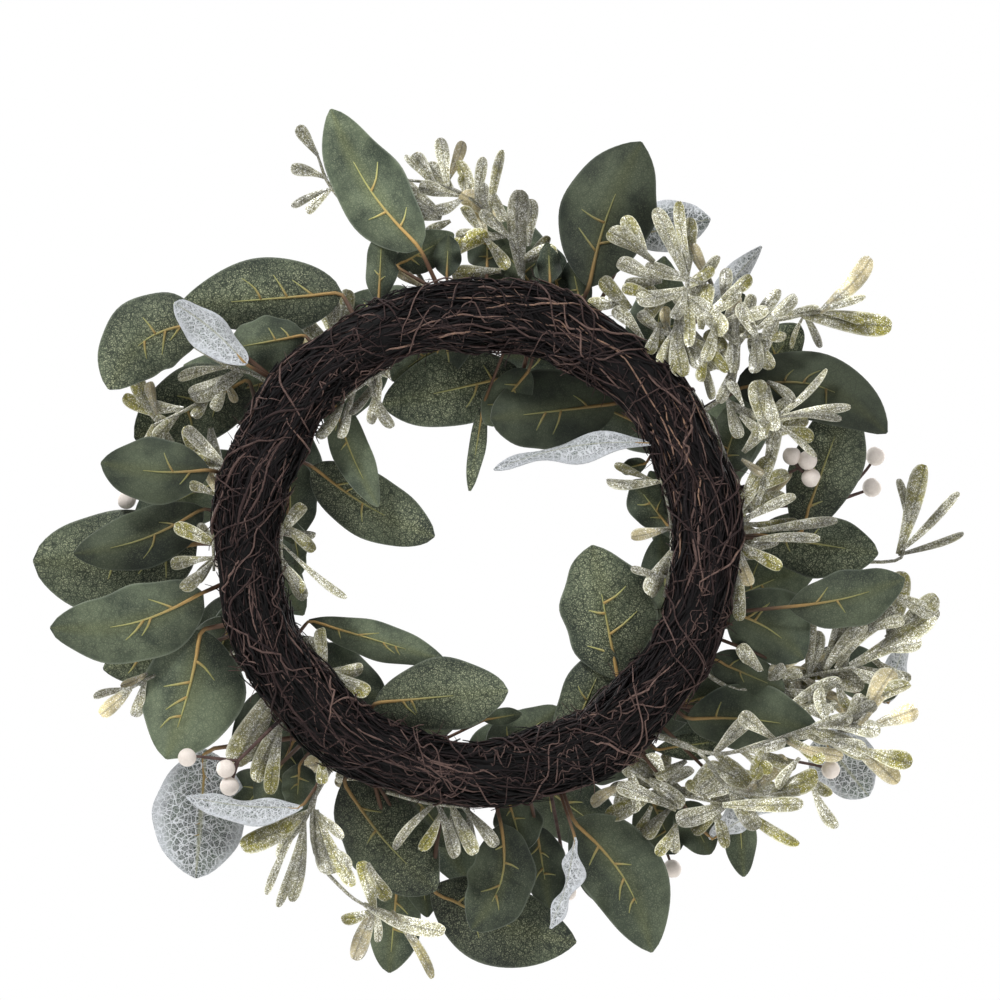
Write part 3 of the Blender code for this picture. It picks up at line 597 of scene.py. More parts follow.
def twigRing():
    strands = []
    every, stouter = ring["stouter"]
    least, spread = ring["strandDepth"]
    litSideAngle, paler = ring["paintedLitSide"]
    for i in range(ring["strands"]):
        start = dice.uniform(0, 360)
        arc = dice.uniform(*ring["strandArc"])
        lane = dice.uniform(0, 360)
        if 35 < lane < 145 and dice.random() < 0.35:   # fewer lie where the leaves hide them
            lane += 180
        drift = dice.gauss(*ring["strandDrift"])
        reach = ring["tube"] - least - abs(dice.gauss(0, spread))
        # strands that start near the lit side are painted paler, painted light
        pale = dice.uniform(0, 1) ** 2.2 + paler * max(math.cos(math.radians(start - litSideAngle)), 0) - 0.03
        lift = (dice.uniform(0, 4), dice.uniform(0, 4)) if dice.random() < 0.4 else (0, 0)
        thickness = dice.uniform(*ring["strandThickness"]) * (stouter if i % every == 0 else 1)
        strands.append(ringStrand(start, arc, lane, drift, reach, thickness, pale, lift))
    # paler twigs that bind the bundle, and loose ends that stand off it
    for i in range(ring["binders"]):
        arc = dice.uniform(*ring["binderArc"])
        drift = dice.choice((-1, 1)) * dice.uniform(*ring["binderDrift"])
        lane = dice.uniform(0, 360)
        pale = dice.uniform(0.55, 1.0)
        strands.append(ringStrand(
            dice.uniform(0, 360), arc, lane, drift, ring["tube"] + dice.uniform(0.2, 1.2),
            dice.uniform(*ring["binderThickness"]), pale, (dice.uniform(0, 3), dice.uniform(0, 3)), 1.6,
        ))
    for i in range(ring["strays"]):
        arc = dice.choice((-1, 1)) * dice.uniform(*ring["strayArc"])
        drift = dice.uniform(*ring["strayDrift"])
        strands.append(ringStrand(
            dice.uniform(0, 360), arc, dice.uniform(*ring["strayLane"]), drift, ring["tube"] - 0.3,
            dice.uniform(*ring["strayThickness"]), dice.uniform(0.4, 0.95),
            (0, dice.uniform(*ring["strayLift"])), 2.2,
        ))
    for start, arc, lane, drift in ring["tanTwigs"]:
        reach = ring["tube"] + 0.6
        strands.append(ringStrand(start, arc, lane, drift, reach, ring["tanThickness"], 0.98, (0, 2)))
    dice.shuffle(strands)
    share = math.ceil(len(strands) / ring["strandPieces"])
    for i in range(ring["strandPieces"]):
        joinPieces(f"twig_strands_{i + 1}", strands[i * share:(i + 1) * share])
    print("ring made:", len(strands), "twigs")


ringCore()
twigRing()

blade = {
    "across": 14,   # cross lines and lines along of the sheet that it is bent from
    "along": 26,
    "thickness": 0.7,
    "arch": 0.06,
    "cup": 0.12,
    "fullness": 0.95,
    "roundness": 0.66,
    "wave": (1.0, 4.2),
    "twist": 0.4,
    "fold": (0.0, 0.24),
    "scallop": (0.015, 0.05),
    "stalk": 1.12,
    "stalkTaper": (1.3, 1.15, 1, 0.8, 0.62, 0.45, 0.2),
    "spurTaper": (0.75, 0.6, 0.25),
    "narrowest": 18,   # a leaf narrower than this has no side veins
}
leafLooks = {   # how pale, how netted, how far the midrib reaches
    "plain": (0.88, 0.22, 0.72),
    "net": (0.86, 1.0, 0.66),
    # dark leaves are the underside cloth painted darker: painted shade for leaves that lie deep in shadow
    "dark": (0.6, 0.12, 0.7),
    "frost": (0.8, 1.0, 0.6),
    "lace": (0.8, 0.0, 0.7),
}
makeRod("stem", 7, 14, vein)
makeRod("spur", 5, 4, vein)
makeSheet("blade", blade["across"], blade["along"], underside, frosted)
makeSheet("flipped", blade["across"], blade["along"], frosted, underside)


def bladeShape(foot, tip, width, roll, sway):
    # returns how a point (u across, t along, lift off the blade) lies in space
    foot, tip = np.array(foot, float), np.array(tip, float)
    along, face = leafFrame(foot, tip, roll)
    length = np.linalg.norm(tip - foot)
    across = np.cross(along, face)
    wave, count, phase = dice.uniform(*blade["wave"]), dice.uniform(1.2, 2.2), dice.uniform(0, 6.28)
    twist = dice.uniform(-1, 1) * blade["twist"]
    lopsided, fold = dice.uniform(-0.1, 0.1), dice.uniform(*blade["fold"])
    fullness = blade["fullness"] + dice.uniform(-0.12, 0.1)
    roundness = blade["roundness"] + dice.uniform(-0.1, 0.06)
    scallop, scallops = dice.uniform(*blade["scallop"]), dice.uniform(1.5, 3.2)

    def place(u, t, lift):
        u, t, lift = (v[:, None] for v in np.broadcast_arrays(*map(np.atleast_1d, (u, t, lift))))
        swing = np.sin(np.pi * t)
        middle = foot + along * length * t + face * (length * blade["arch"] * swing) + across * sway * swing
        lean = np.pi * np.cos(np.pi * t)
        tangent = unit(along * length + face * (length * blade["arch"] * lean) + across * sway * lean)
        side = unit(np.cross(tangent, face))
        out = np.cross(side, tangent)
        turn = twist * (t - 0.3)
        side, out = side * np.cos(turn) + out * np.sin(turn), out * np.cos(turn) - side * np.sin(turn)
        swell = np.maximum(np.sin(np.pi * t**fullness), 0) ** roundness
        half = np.maximum(width / 2 * swell, 0.7)
        cup = blade["cup"] * width * (half * 2 / width) ** 2 * u**2 + fold * half * np.abs(u)
        ripple = wave * swell * np.abs(u) ** 1.6 * np.sin(math.tau * count * t + phase + 1.9 * (u > 0))
        edge = scallop * np.sin(math.tau * scallops * t + phase * 2 + 2.3 * (u > 0))
        half = half * (1 + lopsided * np.sign(u) * swing + edge)
        return middle + side * (u * half) + out * (cup + ripple + lift)

    return place


def leafParts(start, foot, tip, width, look, sway, tone, roll):
    # a blade, its stalk that goes on as a raised midrib, and the side veins that fork from it
    pale, net, reach = leafLooks[look]
    pale *= tone * dice.uniform(0.95, 1.05)
    place = bladeShape(foot, tip, width, roll, sway)
    flip = look in ("frost", "lace")
    kind = "flipped" if flip else "blade"
    grid = grids[kind]
    half = blade["thickness"] / 2
    places = place(grid[:, 0], grid[:, 1], grid[:, 2] * half)
    thick = 1.0 if flip else dice.uniform(0.25, 0.55)
    parts = [bentCopy(kind, places, (pale, net, thick))]
    reach *= dice.uniform(0.85, 1.12)
    under = half if flip else -half
    stalk = blade["stalk"] * (0.6 + width / 110)
    share = np.linspace(0.02, reach, 5)
    rib = place(0, share, under)
    toFoot = np.array(foot, float) - start
    path = [start, start + toFoot * 0.6, *rib]
    parts.append(bendRod("stem", path, stalk * np.array(blade["stalkTaper"]), pale))
    if width < blade["narrowest"]:
        return parts
    hand = dice.choice((-1, 1))
    for i in range(dice.randint(2, 4)):
        hand = -hand if dice.random() < 0.8 else hand
        t = reach * (0.32 + 0.2 * i + dice.uniform(-0.07, 0.07))
        if t > reach:
            break
        run, out = dice.uniform(0.03, 0.14), dice.uniform(0.3, 0.62)
        share = np.array([0, 0.5, 1])
        spur = place(hand * out * share, t + run * share ** dice.uniform(0.8, 1.8), under)
        parts.append(bendRod("spur", spur, stalk * np.array(blade["spurTaper"]), pale, (0.5, 1.0)))
    return parts


def alongPath(path, share):
    place = share * (len(path) - 1)
    step = min(int(place), len(path) - 2)
    return path[step] + (path[step + 1] - path[step]) * (place - step)


def leafSpray(place, lane, stretch, leaves):
    name = "leaf_spray_" + place
    dice.seed(name)
    path = lanePath(stretch, lane, sprayStem["buried"])
    radius = sprayStem["leafRadius"]
    parts = [bendRod("stem", path, [radius * 0.8, radius, radius * 0.8], 0.5)]
    middle = sum(stretch) / 2
    for foot, tip, width, look, *own in leaves:
        sway, tone, roll = *own, *(0, 1, 0)[len(own):]
        angle = math.degrees(math.atan2(foot[2], foot[0]))
        angle = middle + (angle - middle + 180) % 360 - 180
        share = min(max((angle - stretch[0]) / (stretch[1] - stretch[0]), 0.06), 0.94)
        parts += leafParts(alongPath(path, share), foot, tip, width, look, sway, tone, roll)
    joinPieces(name + "_cloth", parts, [name])


# place, lane, stretch of lane, then the leaves: foot, tip, width, look, and where they need it
# how far they swing sideways, their tone and their roll
leafSprays = [
    ("top_left", 30, (104, 120), [
        ((-77, 18, 143), (-170, 24, 136), 44, "net"),
        ((-56, 13, 138), (-54, 14, 178), 19, "plain"),
    ]),
    ("left_high", 30, (125, 142), [
        ((-98, 12, 119), (-142, 6, 111), 32, "plain", 0, 0.9),
        ((-131, -6, 102), (-172, -8, 137), 26, "frost", -5, 1, 35),
        ((-156, 8, 126), (-210, 12, 88), 45, "net", -11, 0.9),
    ]),
    ("left", 30, (148, 166), [
        ((-130, 32, 94), (-196, 36, 60), 46, "net", 0, 0.85),
        ((-152, 0, 42), (-214, -4, 46), 38, "dark", 3),
    ]),
    ("left_low", 30, (172, 190), [
        ((-160, 27, 0), (-254, 31, -10), 60, "net", 4),
        ((-156, 13, 20), (-230, 12, -6), 34, "plain", 5, 0.55),
        ((-156, 1, -28), (-243, -1, -48), 44, "plain", 8),
    ]),
    ("lower_left", 30, (197, 219), [
        ((-157, 10, -49), (-177, 7, -123), 59, "plain", 2, 1.14),
        ((-160, 34, -60), (-214, 37, -72), 34, "net"),
    ]),
    ("bottom_left", 30, (228, 247), [
        ((-99, -10, -150), (-165, -10, -144), 19, "frost", 0, 1, 40),
        ((-101, 17, -126), (-103, 18, -153), 20, "dark"),
        ((-155, 36, -118), (-161, 38, -192), 54, "lace"),
        ((-118, 42, -132), (-138, 44, -158), 34, "dark"),
        ((-116, 24, -84), (-137, 27, -126), 26, "dark"),
        ((-104, 30, -112), (-124, 33, -152), 26, "dark"),
        ((-76, 11, -136), (-23, 9, -198), 49, "net", -4, 0.6),
        ((-45, 32, -190), (-50, 34, -246), 31, "plain"),
        ((-34, 30, -176), (-28, 30, -214), 20, "dark"),
    ]),
    ("bottom", 30, (259, 275), [
        ((14, 8, -160), (-3, 4, -220), 38, "plain", 9, 0.68),
        ((18, 15, -146), (27, 16, -176), 28, "dark"),
        ((-26, 20, -197), (57, 21, -228), 48, "net", -5, 0.66),
    ]),
    ("bottom_right", 30, (281, 292), [
        ((55, 3, -158), (100, -1, -233), 47, "plain", 8, 0.82),
        ((34, 26, -162), (42, 29, -209), 27, "dark"),
        ((56, -12, -167), (42, -12, -219), 14, "frost", 0, 1, 50),
        ((55, 14, -164), (68, 16, -204), 14, "dark"),
    ]),
    ("low_right", 30, (306, 322), [
        ((120, 8, -100), (195, 6, -107), 38, "dark", 3),
        ((118, 30, -148), (134, 31, -178), 24, "dark"),
        ((98, 32, -142), (114, 34, -178), 30, "dark", 0, 0.8),
        ((102, 20, -118), (146, 18, -112), 16, "net", 0, 1.3),
        ((134, 16, -66), (176, 14, -84), 26, "dark", 0, 0.8),
        ((150, 33, -148), (153, 34, -191), 19, "plain"),
        ((133, 25, -169), (172, 24, -150), 19, "frost", 0, 1, 35),
        ((196, 42, -110), (225, 44, -145), 38, "lace"),
    ]),
    ("right_low", 30, (330, 345), [
        ((142, 8, -38), (187, 7, -66), 44, "dark", 4),
        ((178, 2, -36), (244, -1, -20), 33, "plain", -3, 0.7),
        ((196, 34, -62), (240, 36, -88), 28, "dark"),
        ((234, 46, -92), (246, 47, -56), 14, "frost", 0, 0.7),
    ]),
    ("right", 30, (-5, 8), [
        ((184, 20, 4), (214, 17, 86), 40, "net", 0, 0.7),
        ((162, 31, 5), (230, 33, -6), 38, "net"),
    ]),
    ("right_high", 30, (26, 50), [
        ((148, 5, 88), (234, 2, 63), 40, "dark", 15, 0.46),
        ((160, 19, 94), (185, 21, 125), 27, "net"),
        ((131, 26, 132), (163, 28, 170), 14, "frost", 0, 0.6),
        ((130, 36, 132), (154, 37, 142), 17, "dark"),
    ]),
    ("top_right", 30, (60, 74), [
        ((64, 6, 146), (94, 2, 229), 54, "plain", 4, 0.53),
        ((47, 22, 144), (40, 24, 172), 20, "plain"),
        ((60, 20, 134), (54, 20, 162), 18, "dark"),
        ((90, 34, 176), (134, 36, 186), 30, "lace"),
        ((42, 12, 149), (41, 13, 170), 14, "plain"),
    ]),
    ("top", 30, (86, 99), [
        ((-32, 3, 168), (-83, -2, 247.5), 41, "plain", 6, 1.7),
        ((-17, 12, 152), (-16, 14, 176), 16, "dark"),
        ((-46, 17, 158), (-13, 19, 177), 22, "plain"),
        ((6, 30, 157), (6, 37, 180), 24, "dark"),
    ]),
    ("inner_left", 150, (127, 160), [
        ((-83, 6, 88), (-56, 1, 21), 22, "plain", -3),
        ((-94, 18, 44), (-24, 16, 4), 37, "net", -4, 0.88),
        ((-108, 30, 16), (-101, 30, -18), 14, "plain", 0, 1, 40),
    ]),
    ("inner_top", 150, (68, 82), [
        ((4, 17, 80), (-4, 18, 30), 10, "net"),
        ((26, 24, 97), (-54, 22, 79), 44, "net", 0, 1.2),
        ((30, 14, 99), (5, 11, 68), 25, "dark"),
    ]),
    ("inner_right", 150, (27, 50), [
        ((80, 20, 80), (8, 1, 71), 46, "dark", 0, 0.75),
        ((103, -10, 57), (10, -9, 42), 18, "frost", -14, 1, 45),
        ((97, 10, 46), (82, 8, 42), 10, "plain"),
    ]),
    ("inner_low_right", 150, (-60, 10), [
        ((81, 20, -78), (66, 3, -1), 55, "net", 0, 1.3),
        ((111, 11, 8), (89, 8, 36), 25, "plain"),
    ]),
    ("inner_low", 100, (298, 304), [
        ((50, 27, -120), (76, 17, -60), 34, "net"),
    ]),
    ("inner_low_left", 150, (204, 262), [
        ((-58, 6, -91), (18, 2, -84), 42, "net", 0, 0.86),
        ((-96, 18, -44), (-18, 15, -67), 22, "plain"),
        ((-92, 29, -60), (-78, 28, -84), 22, "net"),
        ((4, 13, -101), (26, 12, -97), 10, "plain"),
    ]),
]
for row in leafSprays:
    leafSpray(*row)
print("leaves made")

spoon = {
    "across": 4,   # cross lines and lines along of the sheet that it is bent from
    "along": 9,
    "thickness": 1.5,
    "fold": (0.05, 0.5),
    "curl": (-0.14, 0.34),   # of the length
    "twist": 1.0,
    "slimmest": 2.6,   # times as long as wide, at least
    "crowding": 1.7,   # how much closer the cross lines lie at the tip
    "stations": (0, 0.1, 0.3, 0.5, 0.68, 0.82, 0.92, 0.975, 1),
    "strap": (0.34, 0.5, 0.8, 0.93, 1, 0.98, 0.84, 0.6, 0.3),
    "paddle": (0.24, 0.26, 0.4, 0.68, 0.93, 1, 0.84, 0.58, 0.28),
    "companionSpread": (20.0, 52.0),   # degrees off the leaf that they stand beside
    "companionLength": (0.62, 1.0),
    "companionSlip": 7.0,
    "companionDepth": (3.0, 15.0),
    "pairStart": 10.0,
    "pairStep": 19.0,
    "pairAngle": (18.0, 60.0),
    "pairLength": (26.0, 46.0),
    "pairWidth": (7.5, 13.0),
    "tips": (0.0, 0.0, 0.35, 0.7, 1.0),   # how bare the tip is, drawn where a row doesn't say
    "shades": (0.35, 0.55, 0.75, 0.95, 1.1),
    "rowTone": 1.1,
    "freeTone": 0.85,   # of pairs and companions
    "furthestFoot": 8.0,   # a leaf whose foot is further from a stem than this stands by itself
}
roomForTips = [   # the CAD box less 2 mm on each side, as the leaves' own places
    np.array(corner) / millimetre + (0, 0, hangDrop) - np.sign(i - 0.5) * 2 for i, corner in enumerate(cadBox)
]
makeRod("sprigStem", 7, 16, glitter)
makeSheet("spoon", spoon["across"], spoon["along"], glitter)


def spoonParts(base, tip, width, tone=1.0, tipped=None):
    base, tip = np.array(base, float), np.clip(tip, *roomForTips)
    along, face = leafFrame(base, tip, dice.uniform(-24, 24))
    length = np.linalg.norm(tip - base)
    grid = grids["spoon"]
    u, t, lift = (grid[:, i:i + 1] for i in range(3))
    t = 1 - (1 - t) ** spoon["crowding"]
    paddle = dice.uniform(0, 1)
    width = min(width, length / spoon["slimmest"])
    bend = length * dice.uniform(*spoon["curl"])
    fold = dice.uniform(*spoon["fold"])
    twist, sway = dice.uniform(-1, 1) * spoon["twist"], dice.uniform(-0.05, 0.05) * length
    swing = np.sin(np.pi * t)
    across = np.cross(along, face)
    rise = length * 0.05 * swing + bend * t**2 * (1 - t) * 2
    middle = base + along * length * t + face * rise + across * sway * swing
    turn = twist * (t - 0.4)
    side = across * np.cos(turn) + face * np.sin(turn)
    out = face * np.cos(turn) - across * np.sin(turn)
    profile = np.array(spoon["paddle"]) * paddle + np.array(spoon["strap"]) * (1 - paddle)
    half = width / 2 * np.interp(t, spoon["stations"], profile)
    wall = spoon["thickness"] / 2 * (1 - 0.6 * u**2) * np.clip(0.35 + half / width * 1.3, 0, 1)
    places = middle + side * (u * half) + out * (fold * half * np.abs(u) ** 1.5 + lift * wall)
    if tipped is None:
        tipped = dice.choice(spoon["tips"])
    pale = tone * dice.choice(spoon["shades"]) * dice.uniform(0.9, 1.1)
    return [bentCopy("spoon", places, (pale, tipped, t[:, 0]))]


def swungRound(run, turn, depth):
    # a direction turned in the plane of the ring, with a new depth
    return np.array((
        run[0] * math.cos(turn) - run[2] * math.sin(turn), depth,
        run[0] * math.sin(turn) + run[2] * math.cos(turn),
    ))


def besides(base, tip, hand):
    # foot and tip of a leaf that stands beside another, turned to one side and set deeper
    run = tip - base
    turn = math.radians(dice.uniform(*spoon["companionSpread"])) * (-1 if hand % 2 else 1)
    swung = swungRound(run, turn, run[1])
    foot = base + unit(run) * dice.uniform(-1, 1) * spoon["companionSlip"]
    depth = np.array((0, dice.uniform(*spoon["companionDepth"]), 0))
    return foot + depth * 0.3, foot + swung * dice.uniform(*spoon["companionLength"]) + depth


def pairsAlong(points, fullness, tone):
    # pairs of leaves that stand opposite each other up a stem
    path = smoothPath(points, 24)
    lengths = np.concatenate([[0], np.cumsum(np.linalg.norm(np.diff(path, axis=0), axis=1))])
    parts = []
    for place in np.arange(spoon["pairStart"], lengths[-1], spoon["pairStep"]):
        spot, ahead, back = (
            np.array([np.interp(at, lengths, path[:, i]) for i in range(3)])
            for at in (place, place + 2, place - 2)
        )
        onwards = unit(ahead - back)
        for hand in (-1, 1):
            if dice.random() > fullness:
                continue
            turn = math.radians(dice.uniform(*spoon["pairAngle"])) * hand
            heading = unit(swungRound(onwards, turn, dice.uniform(-0.15, 0.4)))
            tip = spot + heading * dice.uniform(*spoon["pairLength"])
            parts += spoonParts(spot, tip, dice.uniform(*spoon["pairWidth"]), spoon["freeTone"] * tone)
    return parts


def nearestOn(paths, x, z):
    best, found = 1e9, None
    for path in paths:
        for a, b in zip(path, path[1:]):
            run = np.array((b[0] - a[0], b[2] - a[2]))
            share = np.dot((x - a[0], z - a[2]), run) / max(run.dot(run), 1e-9)
            spot = a + (b - a) * min(max(share, 0), 1)
            distance = math.hypot(spot[0] - x, spot[2] - z)
            if distance < best:
                best, found = distance, spot
    return found


def mistletoeSprig(place, lane, stretch, fullness, company, tone, stems, leaves):
    name = "mistletoe_" + place
    dice.seed(name)
    paths = [lanePath(stretch, lane, sprayStem["shallow"])] if stretch else []
    for angle, points in stems:
        paths.append(np.array([lanePoint(angle, lane, sprayStem["sink"]), *points], float))
    radius = sprayStem["twigRadius"]
    parts = [bendRod("sprigStem", path, [radius, radius * 0.85, radius * 0.6], 0.3) for path in paths]
    for x, z, tipX, tipY, tipZ, width, *look in leaves:
        base = nearestOn(paths, x, z)
        if math.hypot(base[0] - x, base[2] - z) > spoon["furthestFoot"]:
            base = np.array((x, (base[1] + tipY) / 2, z))
        tip = np.array((tipX, tipY, tipZ), float)
        own = spoon["rowTone"] * tone * (look[1] if look[1:] else 1)
        parts += spoonParts(base, tip, width, own, look[0] if look else None)
        if dice.random() < company:
            foot, end = besides(base, tip, dice.randint(0, 1))
            parts += spoonParts(foot, end, width * dice.uniform(0.75, 1.0), spoon["freeTone"] * tone)
    for _, points in stems:
        parts += pairsAlong(points, fullness, tone)
    joinPieces(name + "_glitter", parts, [name])


